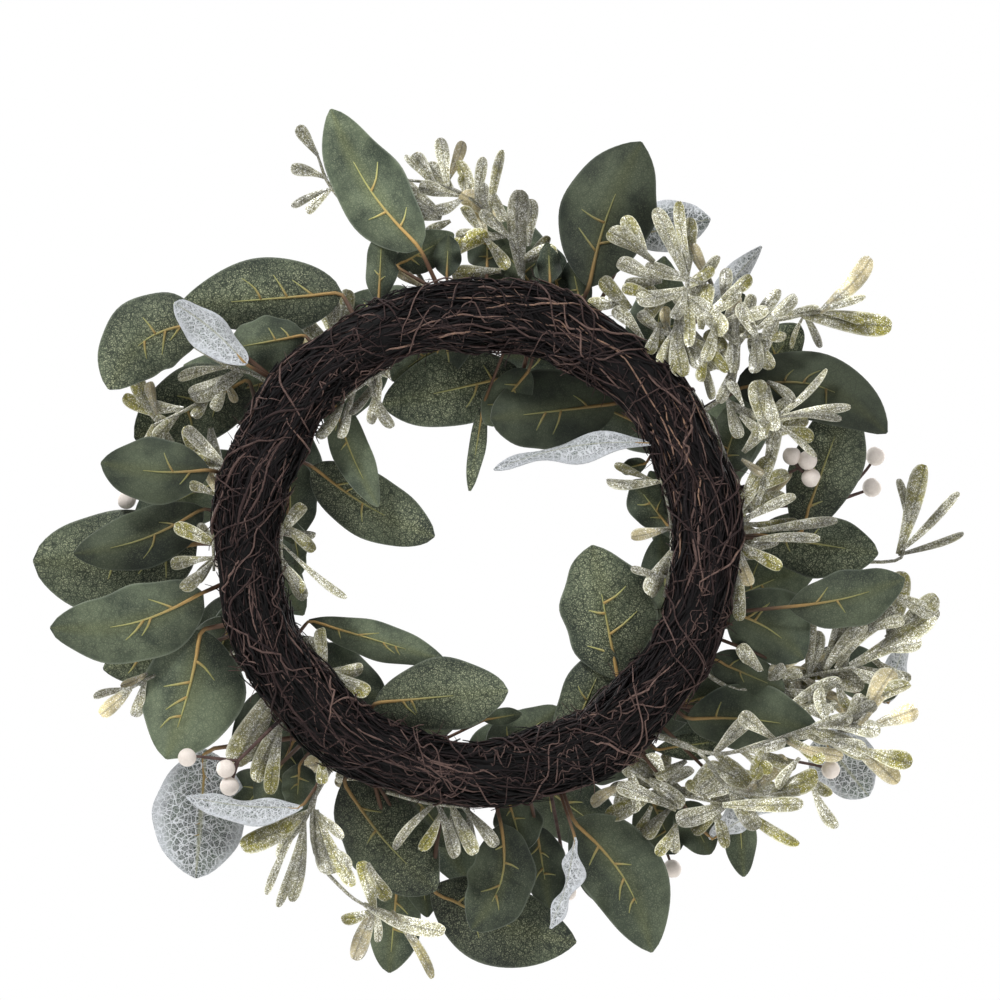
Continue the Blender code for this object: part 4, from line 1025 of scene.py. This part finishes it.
# place, lane, stretch of lane, how full its stems are, how often a leaf has a companion, how bright it is,
# the stems, then the leaves: foot x and z, tip x, y and z, width, and where they need it how bare the tip is
# and the tone
sprigs = [
    ("left", 60, None, 0, 0.3, 1, [
        (142, [(-136, 23, 99), (-160, 23, 80), (-184, 23, 68)]),
    ], [
        (-182, 70, -195, 18, 96, 10, 0.6), (-178, 72, -202, 18, 84, 8, 0.6), (-134, 98, -164, 17, 85, 13, 0),
        (-132, 101, -164, 14, 115, 7, 0.3), (-184, 66, -190, 20, 39, 12, 0.6), (-170, 76, -184, 20, 60, 9, 0.3),
        (-155, 42, -166, 15, 67, 9, 0.6), (-150, 84, -162, 19, 72, 9, 0.3), (-152, 66, -150, 16, 36, 11, 0),
        (-140, 90, -150, 18, 76, 9, 0),
    ]),
    ("left_low", -5, (162, 186), 0, 0.7, 1, [
    ], [
        (-150, 46, -166, -8, 66, 8), (-155, 0, -172, -10, 10, 9), (-155, -8, -174, -9, -12, 8),
        (-155, -10, -168, -10, -26, 9), (-153, 28, -163, -10, 34, 7),
    ]),
    ("lower_left", 60, None, 0, 0.3, 1.1, [
        (205, [(-150, 22, -66), (-180, 22, -74), (-200, 21, -84)]),
    ], [
        (-198, -84, -219, 20, -88, 5, 0), (-196, -86, -215, 18, -98, 10, 0.9), (-190, -78, -196, 20, -99, 8),
    ]),
    ("top", 62, (79, 100), 0.2, 0.25, 1.05, [
        (79, [(26, 24, 156), (18, 24, 176), (0, 25, 195), (-20, 25, 205), (-42, 26, 208)]),
        (100, [(-36, 27, 158), (-62, 28, 182), (-83, 27, 203), (-91, 27, 222)]),
    ], [
        (23, 153, 24, 16, 202, 14, 0), (30, 170, 31, 24, 197, 9), (15, 179, -9, 22, 200, 12),
        (-9, 196, -33, 22, 204, 12, 0), (-20, 187, -45, 26, 208, 14, 0), (14, 156, -14, 20, 153, 12),
        (-21, 157, -9, 17, 174, 9, 0.6), (-26, 148, -46, 20, 156, 8, 0.9), (-26, 206, -41, 25, 222, 5, 0),
        (-24, 205, -36, 24, 223, 9, 0), (-16, 205, -21, 24, 232, 9, 0), (-4, 200, -8, 23, 211, 9, 0.6),
        (0, 195, 4, 23, 221, 8, 0), (8, 188, 15, 23, 225, 7, 0.3), (24, 160, 46, 22, 168, 10, 0.3),
        (18, 176, -12, 24, 176, 9), (-20, 186, -40, 25, 192, 13, 0), (18, 176, 2, 21, 190, 8),
        (-22, 157, 6, 20, 178, 11, 0.6), (3, 177, 18, 20, 157, 8, 0.6), (-91, 222, -102, 26, 239, 9, 0),
        (-87, 208, -106, 26, 216, 9, 0), (-83, 203, -106, 27, 193, 5, 0), (-84, 203, -97, 27, 189, 6, 0),
        (10, 200, 16, 22, 184, 10, 0), (-8, 196, -24, 22, 190, 10, 0), (14, 190, 4, 23, 206, 9, 0),
        (4, 176, -9, 22, 192, 10, 0.3, 0.7),
    ]),
    ("top_right", -5, (18, 52), 0.5, 0.6, 1.3, [
        (46, [(113, -6, 122), (120, -8, 150)]),
        (30, [(143, -6, 86), (148, -8, 100), (150, -8, 118)]),
    ], [
        (101, 160, 75, -12, 178, 12, 0.3), (88, 134, 71, -11, 151, 11, 0.6), (118, 156, 102, -5, 191, 10, 0),
        (104, 150, 80, -10, 160, 10), (102, 140, 83, -8, 146, 11, 0.6), (96, 118, 78, -8, 134, 9, 0),
        (128, 108, 134, -6, 82, 6, 0.3, 0.6), (121, 160, 115, -6, 195, 7, 0.3),
        (118, 146, 135, -9, 157, 10, 0.6), (140, 139, 156, -4, 153, 13, 0.6), (118, 145, 91, -12, 139, 10, 0),
        (114, 146, 112, -13, 128, 10, 0), (121, 146, 121, -11, 112, 7, 0.3), (113, 128, 117, -10, 95, 12, 0.3),
        (124, 141, 141, -12, 119, 12, 0.3), (119, 119, 143, -11, 98, 7, 0.6), (160, 117, 150, -12, 137, 14, 0),
        (148, 128, 146, -10, 97, 9, 0), (157, 126, 158, -11, 97, 9, 0), (160, 122, 182, -8, 141, 8, 0),
        (152, 78, 144, -9, 93, 12, 0), (165, 60, 160, -13, 93, 12, 0.3), (163, 68, 213, -9, 78, 6, 0),
        (172, 72, 208, -9, 71, 5, 0), (150, 73, 163, -8, 60, 8, 0), (160, 100, 171, -6, 128, 9, 0),
        (130, 148, 96, -8, 158, 9), (108, 120, 92, -10, 131, 8), (104, 126, 98, -9, 108, 9),
        (132, 110, 128, -8, 92, 8), (146, 80, 150, -7, 60, 8), (170, 66, 192, -4, 60, 9, 0.6),
        (126, 128, 150, -9, 146, 9, 0), (143, 104, 138, -7, 80, 7), (166, 90, 170, -8, 64, 8, 0),
        (138, 124, 166, -7, 134, 9, 0), (151, 48, 164, -6, 40, 9), (152, 52, 166, -9, 70, 9, 0.3),
        (134, 130, 112, -8, 142, 9, 0), (128, 122, 132, -6, 148, 9), (122, 128, 126, -9, 100, 9, 0),
        (112, 122, 106, -9, 100, 9, 0.3), (136, 124, 130, -9, 104, 8, 0.3),
    ]),
    ("far_right", 14, None, 0, 0.1, 1.3, [
        (42, [(140, 10, 120), (163, 10, 126), (196, 10, 132)]),
    ], [
        (200, 136, 225, 9, 163, 11, 0.9), (188, 134, 222, 8, 141, 5, 0), (186, 133, 237, 11, 124, 14, 0.6),
        (163, 124, 182, 9, 142, 8, 0), (188, 126, 197, 11, 112, 5, 0), (150, 123, 158, 8, 142, 8, 0),
        (170, 128, 196, 8, 134, 6, 0),
    ]),
    ("right_near", 10, (-14, 17), 0, 0.7, 1, [
    ], [
        (155, 6, 206, 5, 13, 7, 0), (158, 2, 196, 4, 3, 6, 0), (152, -4, 156, 1, -24, 8, 0.9),
        (152, 18, 167, 2, 49, 11, 0.3), (160, 22, 171, 0, 76, 9, 0), (166, 60, 189, 3, 71, 10, 0.6),
        (154, -14, 150, 0, -44, 8, 0.3), (155, 0, 174, 3, -14, 8), (154, 26, 178, 0, 40, 9),
        (154, 12, 182, 1, 27, 7, 0),
    ]),
    ("right", 70, None, 0, 0.2, 1.2, [
        (-4, [(166, 44, -8), (205, 46, -10), (240, 46, -10), (246, 46, 0)]),
    ], [
        (243, -7, 257, 44, 45, 13, 0.5), (246, -6, 277, 45, 29, 6, 0), (244, -8, 281, 45, 6, 5, 0),
        (247, 12, 242, 45, 37, 5, 0),
    ]),
    ("right_low", 48, None, 0.4, 0.6, 1.15, [
        (-29, [(150, 19, -84), (186, 19, -76), (222, 18, -68), (238, 18, -50)]),
    ], [
        (214, -72, 262, 14, -41, 14, 0.3), (206, -74, 238, 12, -36, 12, 0), (200, -76, 222, 10, -46, 10, 0),
        (188, -68, 190, 12, -38, 8, 0.3), (176, -95, 208, 12, -78, 9, 0), (172, -98, 206, 13, -92, 8),
        (186, -76, 219, 12, -99, 10, 0.9), (160, -82, 188, 10, -60, 9), (166, -80, 150, 12, -58, 9),
        (160, -84, 176, 12, -70, 8), (162, -80, 204, 12, -96, 6, 0), (165, -84, 200, 13, -86, 6),
        (158, -76, 186, 12, -74, 7), (190, -75, 196, 17, -50, 8), (236, -52, 243, 14, -16, 14, 0.6),
        (236, -56, 263, 14, -30, 14, 0.3), (240, -30, 264, 13, -42, 10, 0), (225, -60, 254, 10, -56, 9, 0),
        (176, -78, 190, 20, -96, 8), (206, -80, 212, 10, -94, 9, 0.6), (224, -50, 244, 9, -44, 10, 0),
        (212, -66, 228, 9, -78, 9, 0),
    ]),
    ("lower_right", -5, None, 0.25, 0.5, 1.3, [
        (-48, [(126, -6, -118), (150, -7, -118), (200, -7, -102), (224, -7, -106)]),
        (-48, [(126, -6, -118), (142, -8, -138), (162, -8, -143), (184, -8, -140)]),
    ], [
        (172, -118, 150, -12, -97, 16, 0), (219, -98, 237, -10, -72, 15, 0.9),
        (222, -104, 251, -10, -94, 14, 0.9), (216, -116, 248, -9, -125, 12, 0.6),
        (196, -104, 230, -11, -106, 11, 0), (208, -104, 220, -9, -86, 9, 0),
        (158, -140, 194, -12, -131, 13, 0.6), (140, -149, 186, -11, -148, 9, 0.3),
        (190, -134, 205, -8, -162, 8, 0), (150, -118, 168, -10, -130, 9), (200, -102, 196, -8, -82, 8, 0),
        (206, -98, 228, -9, -92, 10, 0), (196, -112, 222, -8, -118, 10, 0), (150, -122, 176, -9, -112, 8, 0),
        (170, -118, 158, -8, -134, 9, 0.6), (184, -122, 172, -9, -140, 8, 0), (190, -108, 214, -9, -98, 9, 0),
        (178, -112, 198, -8, -124, 8),
    ]),
    ("bottom_right", 35, (-64, -56), 0.5, 0.5, 1.1, [
        (-58, [(106, 15, -140), (142, 16, -149)]),
    ], [
        (142, -149, 114, 10, -158, 17, 0), (118, -146, 84, 8, -124, 14, 0.3, 0.7),
        (114, -152, 80, 7, -138, 10, 0), (114, -160, 103, 9, -178, 9, 0.6), (120, -143, 140, 10, -126, 12, 0.3),
        (96, -138, 118, 11, -150, 10), (128, -146, 148, 8, -134, 9, 0), (84, -138, 66, 12, -150, 10, 0.9),
        (100, -150, 92, 14, -170, 9), (106, -140, 124, 13, -129, 9, 0), (84, -131, 90, 12, -154, 10, 0),
        (110, -134, 98, 9, -120, 9), (122, -144, 138, 15, -132, 8), (104, -146, 74, 9, -156, 11, 0.6),
        (120, -124, 102, 10, -133, 11, 0.3, 0.7), (112, -150, 96, 12, -168, 11, 0.3, 0.6),
        (132, -148, 120, 11, -136, 9),
    ]),
    ("bottom", -5, (-110, -92), 0, 0.4, 0.9, [
    ], [
        (-24, -150, -47, -7, -174, 6, 0), (-22, -148, -12, -9, -179, 9, 0), (-14, -148, -1, -8, -177, 9, 0.3),
        (-8, -150, 12, -8, -172, 8, 0),
    ]),
    ("bottom_left", -5, None, 0, 0.05, 1.25, [
        (237, [(-92, -3, -144), (-99, -4, -160), (-112, -4, -176)]),
        (237, [(-92, -3, -144), (-92, -4, -176), (-74, -4, -199), (-58, -4, -209)]),
    ], [
        (-116, -84, -138, 6, -127, 19, 0.3, 0.5), (-110, -98, -126, 8, -136, 11, 0.3, 0.6),
        (-112, -108, -118, 4, -143, 9, 0.6, 0.8), (-103, -151, -134, -6, -173, 13, 0.6),
        (-98, -152, -113, -6, -179, 6, 0), (-98, -155, -120, -5, -200, 5, 0), (-98, -157, -113, -7, -207, 6, 0),
        (-98, -158, -105, -6, -204, 8, 0, 0.9), (-93, -152, -82, -8, -188, 14, 0),
        (-92, -152, -70, -7, -195, 9, 0.3), (-95, -150, -76, -6, -168, 7, 0),
        (-88, -118, -88, -8, -137, 10, 0.6), (-58, -209, -66, -6, -181, 9, 0.6),
        (-58, -209, -77, -5, -214, 9, 0.6), (-58, -209, -70, -4, -237, 12, 0.9),
        (-58, -209, -56, -5, -227, 5, 0), (-64, -205, -18, -6, -221, 10, 0), (-62, -182, -50, -6, -203, 9, 0.6),
        (-100, -150, -112, -5, -164, 10, 0.6), (-84, -170, -72, -7, -186, 9, 0),
        (-48, -209, -25, -5, -248, 6, 0.8),
    ]),
    ("inner_top_left", 184, (118, 134), 0, 0.7, 1, [
    ], [
        (-52, 92, -60, -7, 68, 7), (-58, 88, -48, -7, 66, 7), (-72, 76, -90, -8, 60, 7),
        (-66, 82, -78, -7, 60, 7),
    ]),
    ("inner_left", 184, (174, 190), 0, 0.2, 1, [
    ], [
        (-105, -8, -98, -6, -32, 9), (-105, 0, -74, -5, -31, 5, 0), (-105, 10, -92, -6, -4, 8, 0.6),
        (-106, -10, -99, -7, -28, 8), (-105, 6, -98, -6, 22, 8),
    ]),
    ("inner_low_left", 184, (216, 228), 0, 0.3, 1, [
    ], [
        (-84, -74, -61, -7, -85, 11, 0.6), (-82, -66, -88, -7, -48, 8),
    ]),
    ("inner_right", 184, (-16, 20), 0, 0.4, 1, [
    ], [
        (100, 34, 74, -8, 36, 7), (104, -4, 99, -8, -30, 12), (103, -18, 88, -6, -14, 5),
        (104, 8, 88, -7, 4, 8),
    ]),
]
for row in sprigs:
    mistletoeSprig(*row)
print("mistletoe made")

berryBall = {"radius": 5.6, "segments": 20, "rings": 12}
makeRod("berryStem", 6, 10, bark)
makeBall("ball", berryBall["segments"], berryBall["rings"], skin)


def berry(centre, stalk):
    centre = np.array(centre, float)
    up = unit(centre - np.array(stalk, float) + (1e-3, 0, 0))
    side = unit(np.cross(up, (0.3, 0.9, 0.2)))
    other = np.cross(up, side)
    size = berryBall["radius"] * dice.uniform(0.94, 1.0)
    grid = grids["ball"]
    places = centre + (side * grid[:, :1] + other * grid[:, 1:2] + up * grid[:, 2:]) * size
    return bentCopy("ball", places, (dice.uniform(0.6, 1.0), 0.0, 0.0))


def berryCluster(place, lane, root, stems, centres):
    name = "berries_" + place
    dice.seed(name)
    radius = sprayStem["berryRadius"]
    parts = [bendRod("berryStem", rootPath(root, lane), [radius, radius], 0.5)]
    start = lanePoint(root, lane)
    for i, points in enumerate(stems):
        path = [start, *points] if i == 0 else points
        parts.append(bendRod("berryStem", path, [radius, radius * 0.9, radius * 0.7], 0.85))
    for centre in centres:
        # a berry sits square on the end of the stem that is nearest to it
        stem = min(stems, key=lambda points: np.linalg.norm(np.array(points[-1], float) - centre))
        near = np.array(stem[-1], float)
        parts.append(berry(centre, stem[0] if np.linalg.norm(near - centre) < 1 else near))
    joinPieces(name + "_white", parts, [name])


# place, lane, root angle, stems, berry centres
berryClusters = [
    ("right", 22, 12, [
        [(168, 15, 36), (184, 14, 43)], [(184, 14, 43), (180, 12, 49)], [(184, 14, 43), (189, 12, 47)],
        [(184, 14, 43), (190, 15, 38)],
    ], [(180, 12, 50), (189, 12, 47.5), (191, 15, 37.5)]),
    ("far_right", 72, 8, [
        [(186, 52, 22), (206, 54, 24), (222, 54, 40), (228, 54, 48)], [(206, 54, 24), (226, 54, 31)],
    ], [(229, 54, 50), (227, 54, 32)]),
    ("left", 75, 168, [
        [(-170, 46, 30), (-200, 48, 25)],
    ], [(-201, 48, 25)]),
    ("lower_left", 8, 222, [
        [(-136, 6, -124), (-141, 6, -129)], [(-136, 6, -124), (-140, 6, -137)],
        [(-136, 6, -124), (-163, 3, -121)],
    ], [(-143, 5, -128.5), (-141, 7, -138.5), (-165, 2, -122)]),
    ("lower_right", 66, -39, [
        [(160, 26, -118), (200, 6, -128)],
    ], [(202, 4, -129)]),
    ("bottom_right", 75, -56, [
        [(104, 46, -166), (112, 48, -185)], [(104, 46, -166), (124, 47, -171)],
    ], [(112, 48, -187), (126, 47, -172)]),
    ("bottom", 75, -73, [
        [(48, 42, -172), (52, 44, -198)],
    ], [(52, 44, -200)]),
]
for row in berryClusters:
    berryCluster(*row)
print("berries made")

frontGroups = {
    "count": 6,
    "start": 10.0,
    "lane": 90.0,
    "leaves": 4,
    "leafStep": 14.0,
    "rise": 30.0,
    "lift": 6.0,
    "overhang": 6.0,   # degrees that the stem goes on past its last leaf
    "outward": (44.0, 80.0, 40.0),   # lean, length, width
    "inward": (-38.0, 62.0, 34.0),
    "turnedIn": {(1, 2): (12.0, 60.0)},   # lean and length of a leaf that would show from the door side
    "fillers": ((58.0, 34.0), (122.0, -26.0), (74.0, 10.0)),   # lane and lean of leaves that hide the bundle
    "fillerStep": 19,
    "fillerLength": (40.0, 54.0),
    "fillerWidth": (28.0, 36.0),
    "fillerRise": (8, 22),
    "fillerTone": 0.8,
    "spoons": 20,
    "spoonTurn": 2.4,   # radians from leaf to leaf up the twig, the golden angle
    "spoonWidth": (8.0, 12.0),
    "spoonSpread": (18.0, 40.0),
    "spoonRise": (-14.0, 9.0),
    "sprigAngle": 6.0,
    "sprigLane": 83.0,
    "sprigReach": 84.0,
    "berries": 3,
    "berrySpread": 7.4,
}


def headings(angle, lean):
    # on round the ring at an angle, and the same turned outwards by so many degrees
    around, lean = math.radians(angle), math.radians(lean)
    radial = np.array((math.cos(around), 0, math.sin(around)))
    onwards = np.array((-math.sin(around), 0, math.cos(around)))
    return onwards, onwards * math.cos(lean) + radial * math.sin(lean)


def frontLeaves(group):
    start = group * 360 / frontGroups["count"] + frontGroups["start"]
    lift = frontGroups["lift"]
    leaves = []
    for i in range(frontGroups["leaves"]):
        angle = start + i * frontGroups["leafStep"]
        lean, length, width = frontGroups["inward" if i % 2 else "outward"]
        lean, length = frontGroups["turnedIn"].get((group, i), (lean, length))
        onwards, heading = headings(angle, lean)
        foot = lanePoint(angle, frontGroups["lane"], sprayStem["lane"] + lift) + onwards * lift
        tip = foot + heading * length + (0, frontGroups["rise"], 0)
        leaves.append((foot, tip, width, "plain", dice.uniform(-3, 3)))
    for i, (lane, lean) in enumerate(frontGroups["fillers"]):
        slip = (i * frontGroups["fillerStep"] + dice.uniform(2, 10)) % (frontGroups["leafStep"] * 3)
        _, heading = headings(start + slip, lean)
        foot = lanePoint(start + slip, lane)
        tip = foot + heading * dice.uniform(*frontGroups["fillerLength"])
        tip = tip + (0, dice.uniform(*frontGroups["fillerRise"]), 0)
        width = dice.uniform(*frontGroups["fillerWidth"])
        leaves.append((foot, tip, width, "plain", dice.uniform(-4, 4), frontGroups["fillerTone"]))
    return (start, angle + frontGroups["overhang"]), leaves


def frontBerries(place, angle, foot, top):
    fork = top + (foot - top) * 0.04
    centres, stems = [], [[top]]
    for i in range(frontGroups["berries"]):
        turn = math.tau * i / frontGroups["berries"] + 0.5
        spread = frontGroups["berrySpread"]
        centres.append(top + (math.cos(turn) * spread, 3 + i, math.sin(turn) * spread))
        stems.append([fork, centres[-1]])
    berryCluster(place, frontGroups["sprigLane"], angle, stems, centres)


def frontRosette(place, angle, foot, top):
    # leaves turn round the twig and are longer the lower they stand
    radius = sprayStem["twigRadius"]
    parts = [bendRod("sprigStem", rootPath(angle, frontGroups["sprigLane"]), [radius, radius], 0.3)]
    parts.append(bendRod("sprigStem", [foot, top], [radius, radius * 0.8], 0.4))
    for i in range(frontGroups["spoons"]):
        share = i / frontGroups["spoons"]
        turn = frontGroups["spoonTurn"] * i + dice.uniform(-0.3, 0.3)
        spread = dice.uniform(*frontGroups["spoonSpread"]) * (0.75 + 0.5 * share)
        base = top + (foot - top) * (0.02 + 0.7 * share)
        rise = dice.uniform(*frontGroups["spoonRise"])
        tip = base + (math.cos(turn) * spread, rise, math.sin(turn) * spread)
        parts += spoonParts(base, tip, dice.uniform(*frontGroups["spoonWidth"]))
    joinPieces(f"mistletoe_{place}_glitter", parts, [f"mistletoe_{place}"])


def decoratedSide():
    for group in range(frontGroups["count"]):
        dice.seed(group)
        place = f"front_{group + 1}"
        stretch, leaves = frontLeaves(group)
        leafSpray(place, frontGroups["lane"], stretch, leaves)
        lane = frontGroups["sprigLane"]
        angle = group * 360 / frontGroups["count"] + frontGroups["sprigAngle"]
        foot, top = lanePoint(angle, lane), lanePoint(angle, lane, frontGroups["sprigReach"])
        addFront = frontBerries if group % 2 else frontRosette
        addFront(place, angle, foot, top)


decoratedSide()
for piece in templates.values():
    bpy.data.objects.remove(piece, do_unlink=True)
print("decorated side made")

studio = {
    "floorDrop": 0.56,
    "floorSide": 3.0,
    "aim": (0.0134, 0.0, -0.0862),
    "distance": 7.0,
    "field": 0.57,   # how wide the picture is at the ring
    "sensor": 36.0,
    "surround": (0.24, 1.15),   # dim in front of the camera, bright behind the wreath
    "lamps": (   # name, place, size, power
        ("key", (-1.1, -1.3, 1.9), 0.6, 62),
        ("fill", (1.8, -1.6, 0.9), 1.2, 14),
        ("back_left", (-1.4, 1.7, 0.7), 1.4, 34),
        ("back_right", (1.4, 1.7, 0.5), 1.4, 34),
    ),
}


def floorFinish():
    paper = Finish("studio_paper", {"Roughness": 0.9})
    mottle = paper.noise(0.002, 2.0)
    paper.wear("Base Color", paper.blend(mottle, tint(232, 231, 228), tint(240, 239, 237)))
    return paper.material


clearSelection()
bpy.ops.mesh.primitive_plane_add(size=studio["floorSide"], location=(0, 0, -studio["floorDrop"]))
floor = bpy.context.object
floor.name = "floor"
floor.data.materials.append(floorFinish())
bpy.ops.object.transform_apply(location=True)


def softLight(name, place, size, power):
    light = bpy.data.lights.new(name, "AREA")
    light.shape, light.size, light.energy = "DISK", size, power
    lamp = bpy.data.objects.new(name, light)
    bpy.context.scene.collection.objects.link(lamp)
    lamp.location = place
    aim = np.array(studio["aim"]) - place
    tilt = math.acos(aim[2] / np.linalg.norm(aim)) - math.pi
    lamp.rotation_euler = (tilt, 0, math.atan2(aim[1], aim[0]) + math.pi / 2)
    lamp.visible_camera = False


for lamp in studio["lamps"]:
    softLight(*lamp)

world = bpy.data.worlds.new("white_room")
world.use_nodes = True
bpy.context.scene.world = world
room = world.node_tree
plain = room.nodes["Background"]
plain.inputs["Color"].default_value = (1, 1, 1, 1)
towards = room.nodes.new("ShaderNodeTexCoord")
split = room.nodes.new("ShaderNodeSeparateXYZ")
room.links.new(towards.outputs["Generated"], split.inputs[0])
dimmer = room.nodes.new("ShaderNodeMapRange")
for socket, value in zip(("From Min", "From Max", "To Min", "To Max"), (-0.7, 0.7, *studio["surround"])):
    dimmer.inputs[socket].default_value = value
room.links.new(split.outputs["Y"], dimmer.inputs["Value"])
room.links.new(dimmer.outputs[0], plain.inputs["Strength"])
seen = room.nodes.new("ShaderNodeBackground")
seen.inputs["Color"].default_value = (1, 1, 1, 1)
seen.inputs["Strength"].default_value = 1.0
path = room.nodes.new("ShaderNodeLightPath")
choose = room.nodes.new("ShaderNodeMixShader")
room.links.new(path.outputs["Is Camera Ray"], choose.inputs[0])
room.links.new(plain.outputs[0], choose.inputs[1])
room.links.new(seen.outputs[0], choose.inputs[2])
room.links.new(choose.outputs[0], room.nodes["World Output"].inputs[0])
bpy.context.scene.view_settings.view_transform = "Standard"

lens = bpy.data.cameras.new("camera")
lens.sensor_width = studio["sensor"]
lens.lens = studio["sensor"] * studio["distance"] / studio["field"]
lens.clip_end = 40
camera = bpy.data.objects.new("camera", lens)
bpy.context.scene.collection.objects.link(camera)
camera.location = (studio["aim"][0], -studio["distance"], studio["aim"][2])
camera.rotation_euler = (math.pi / 2, 0, 0)
bpy.context.scene.camera = camera
print("studio made")
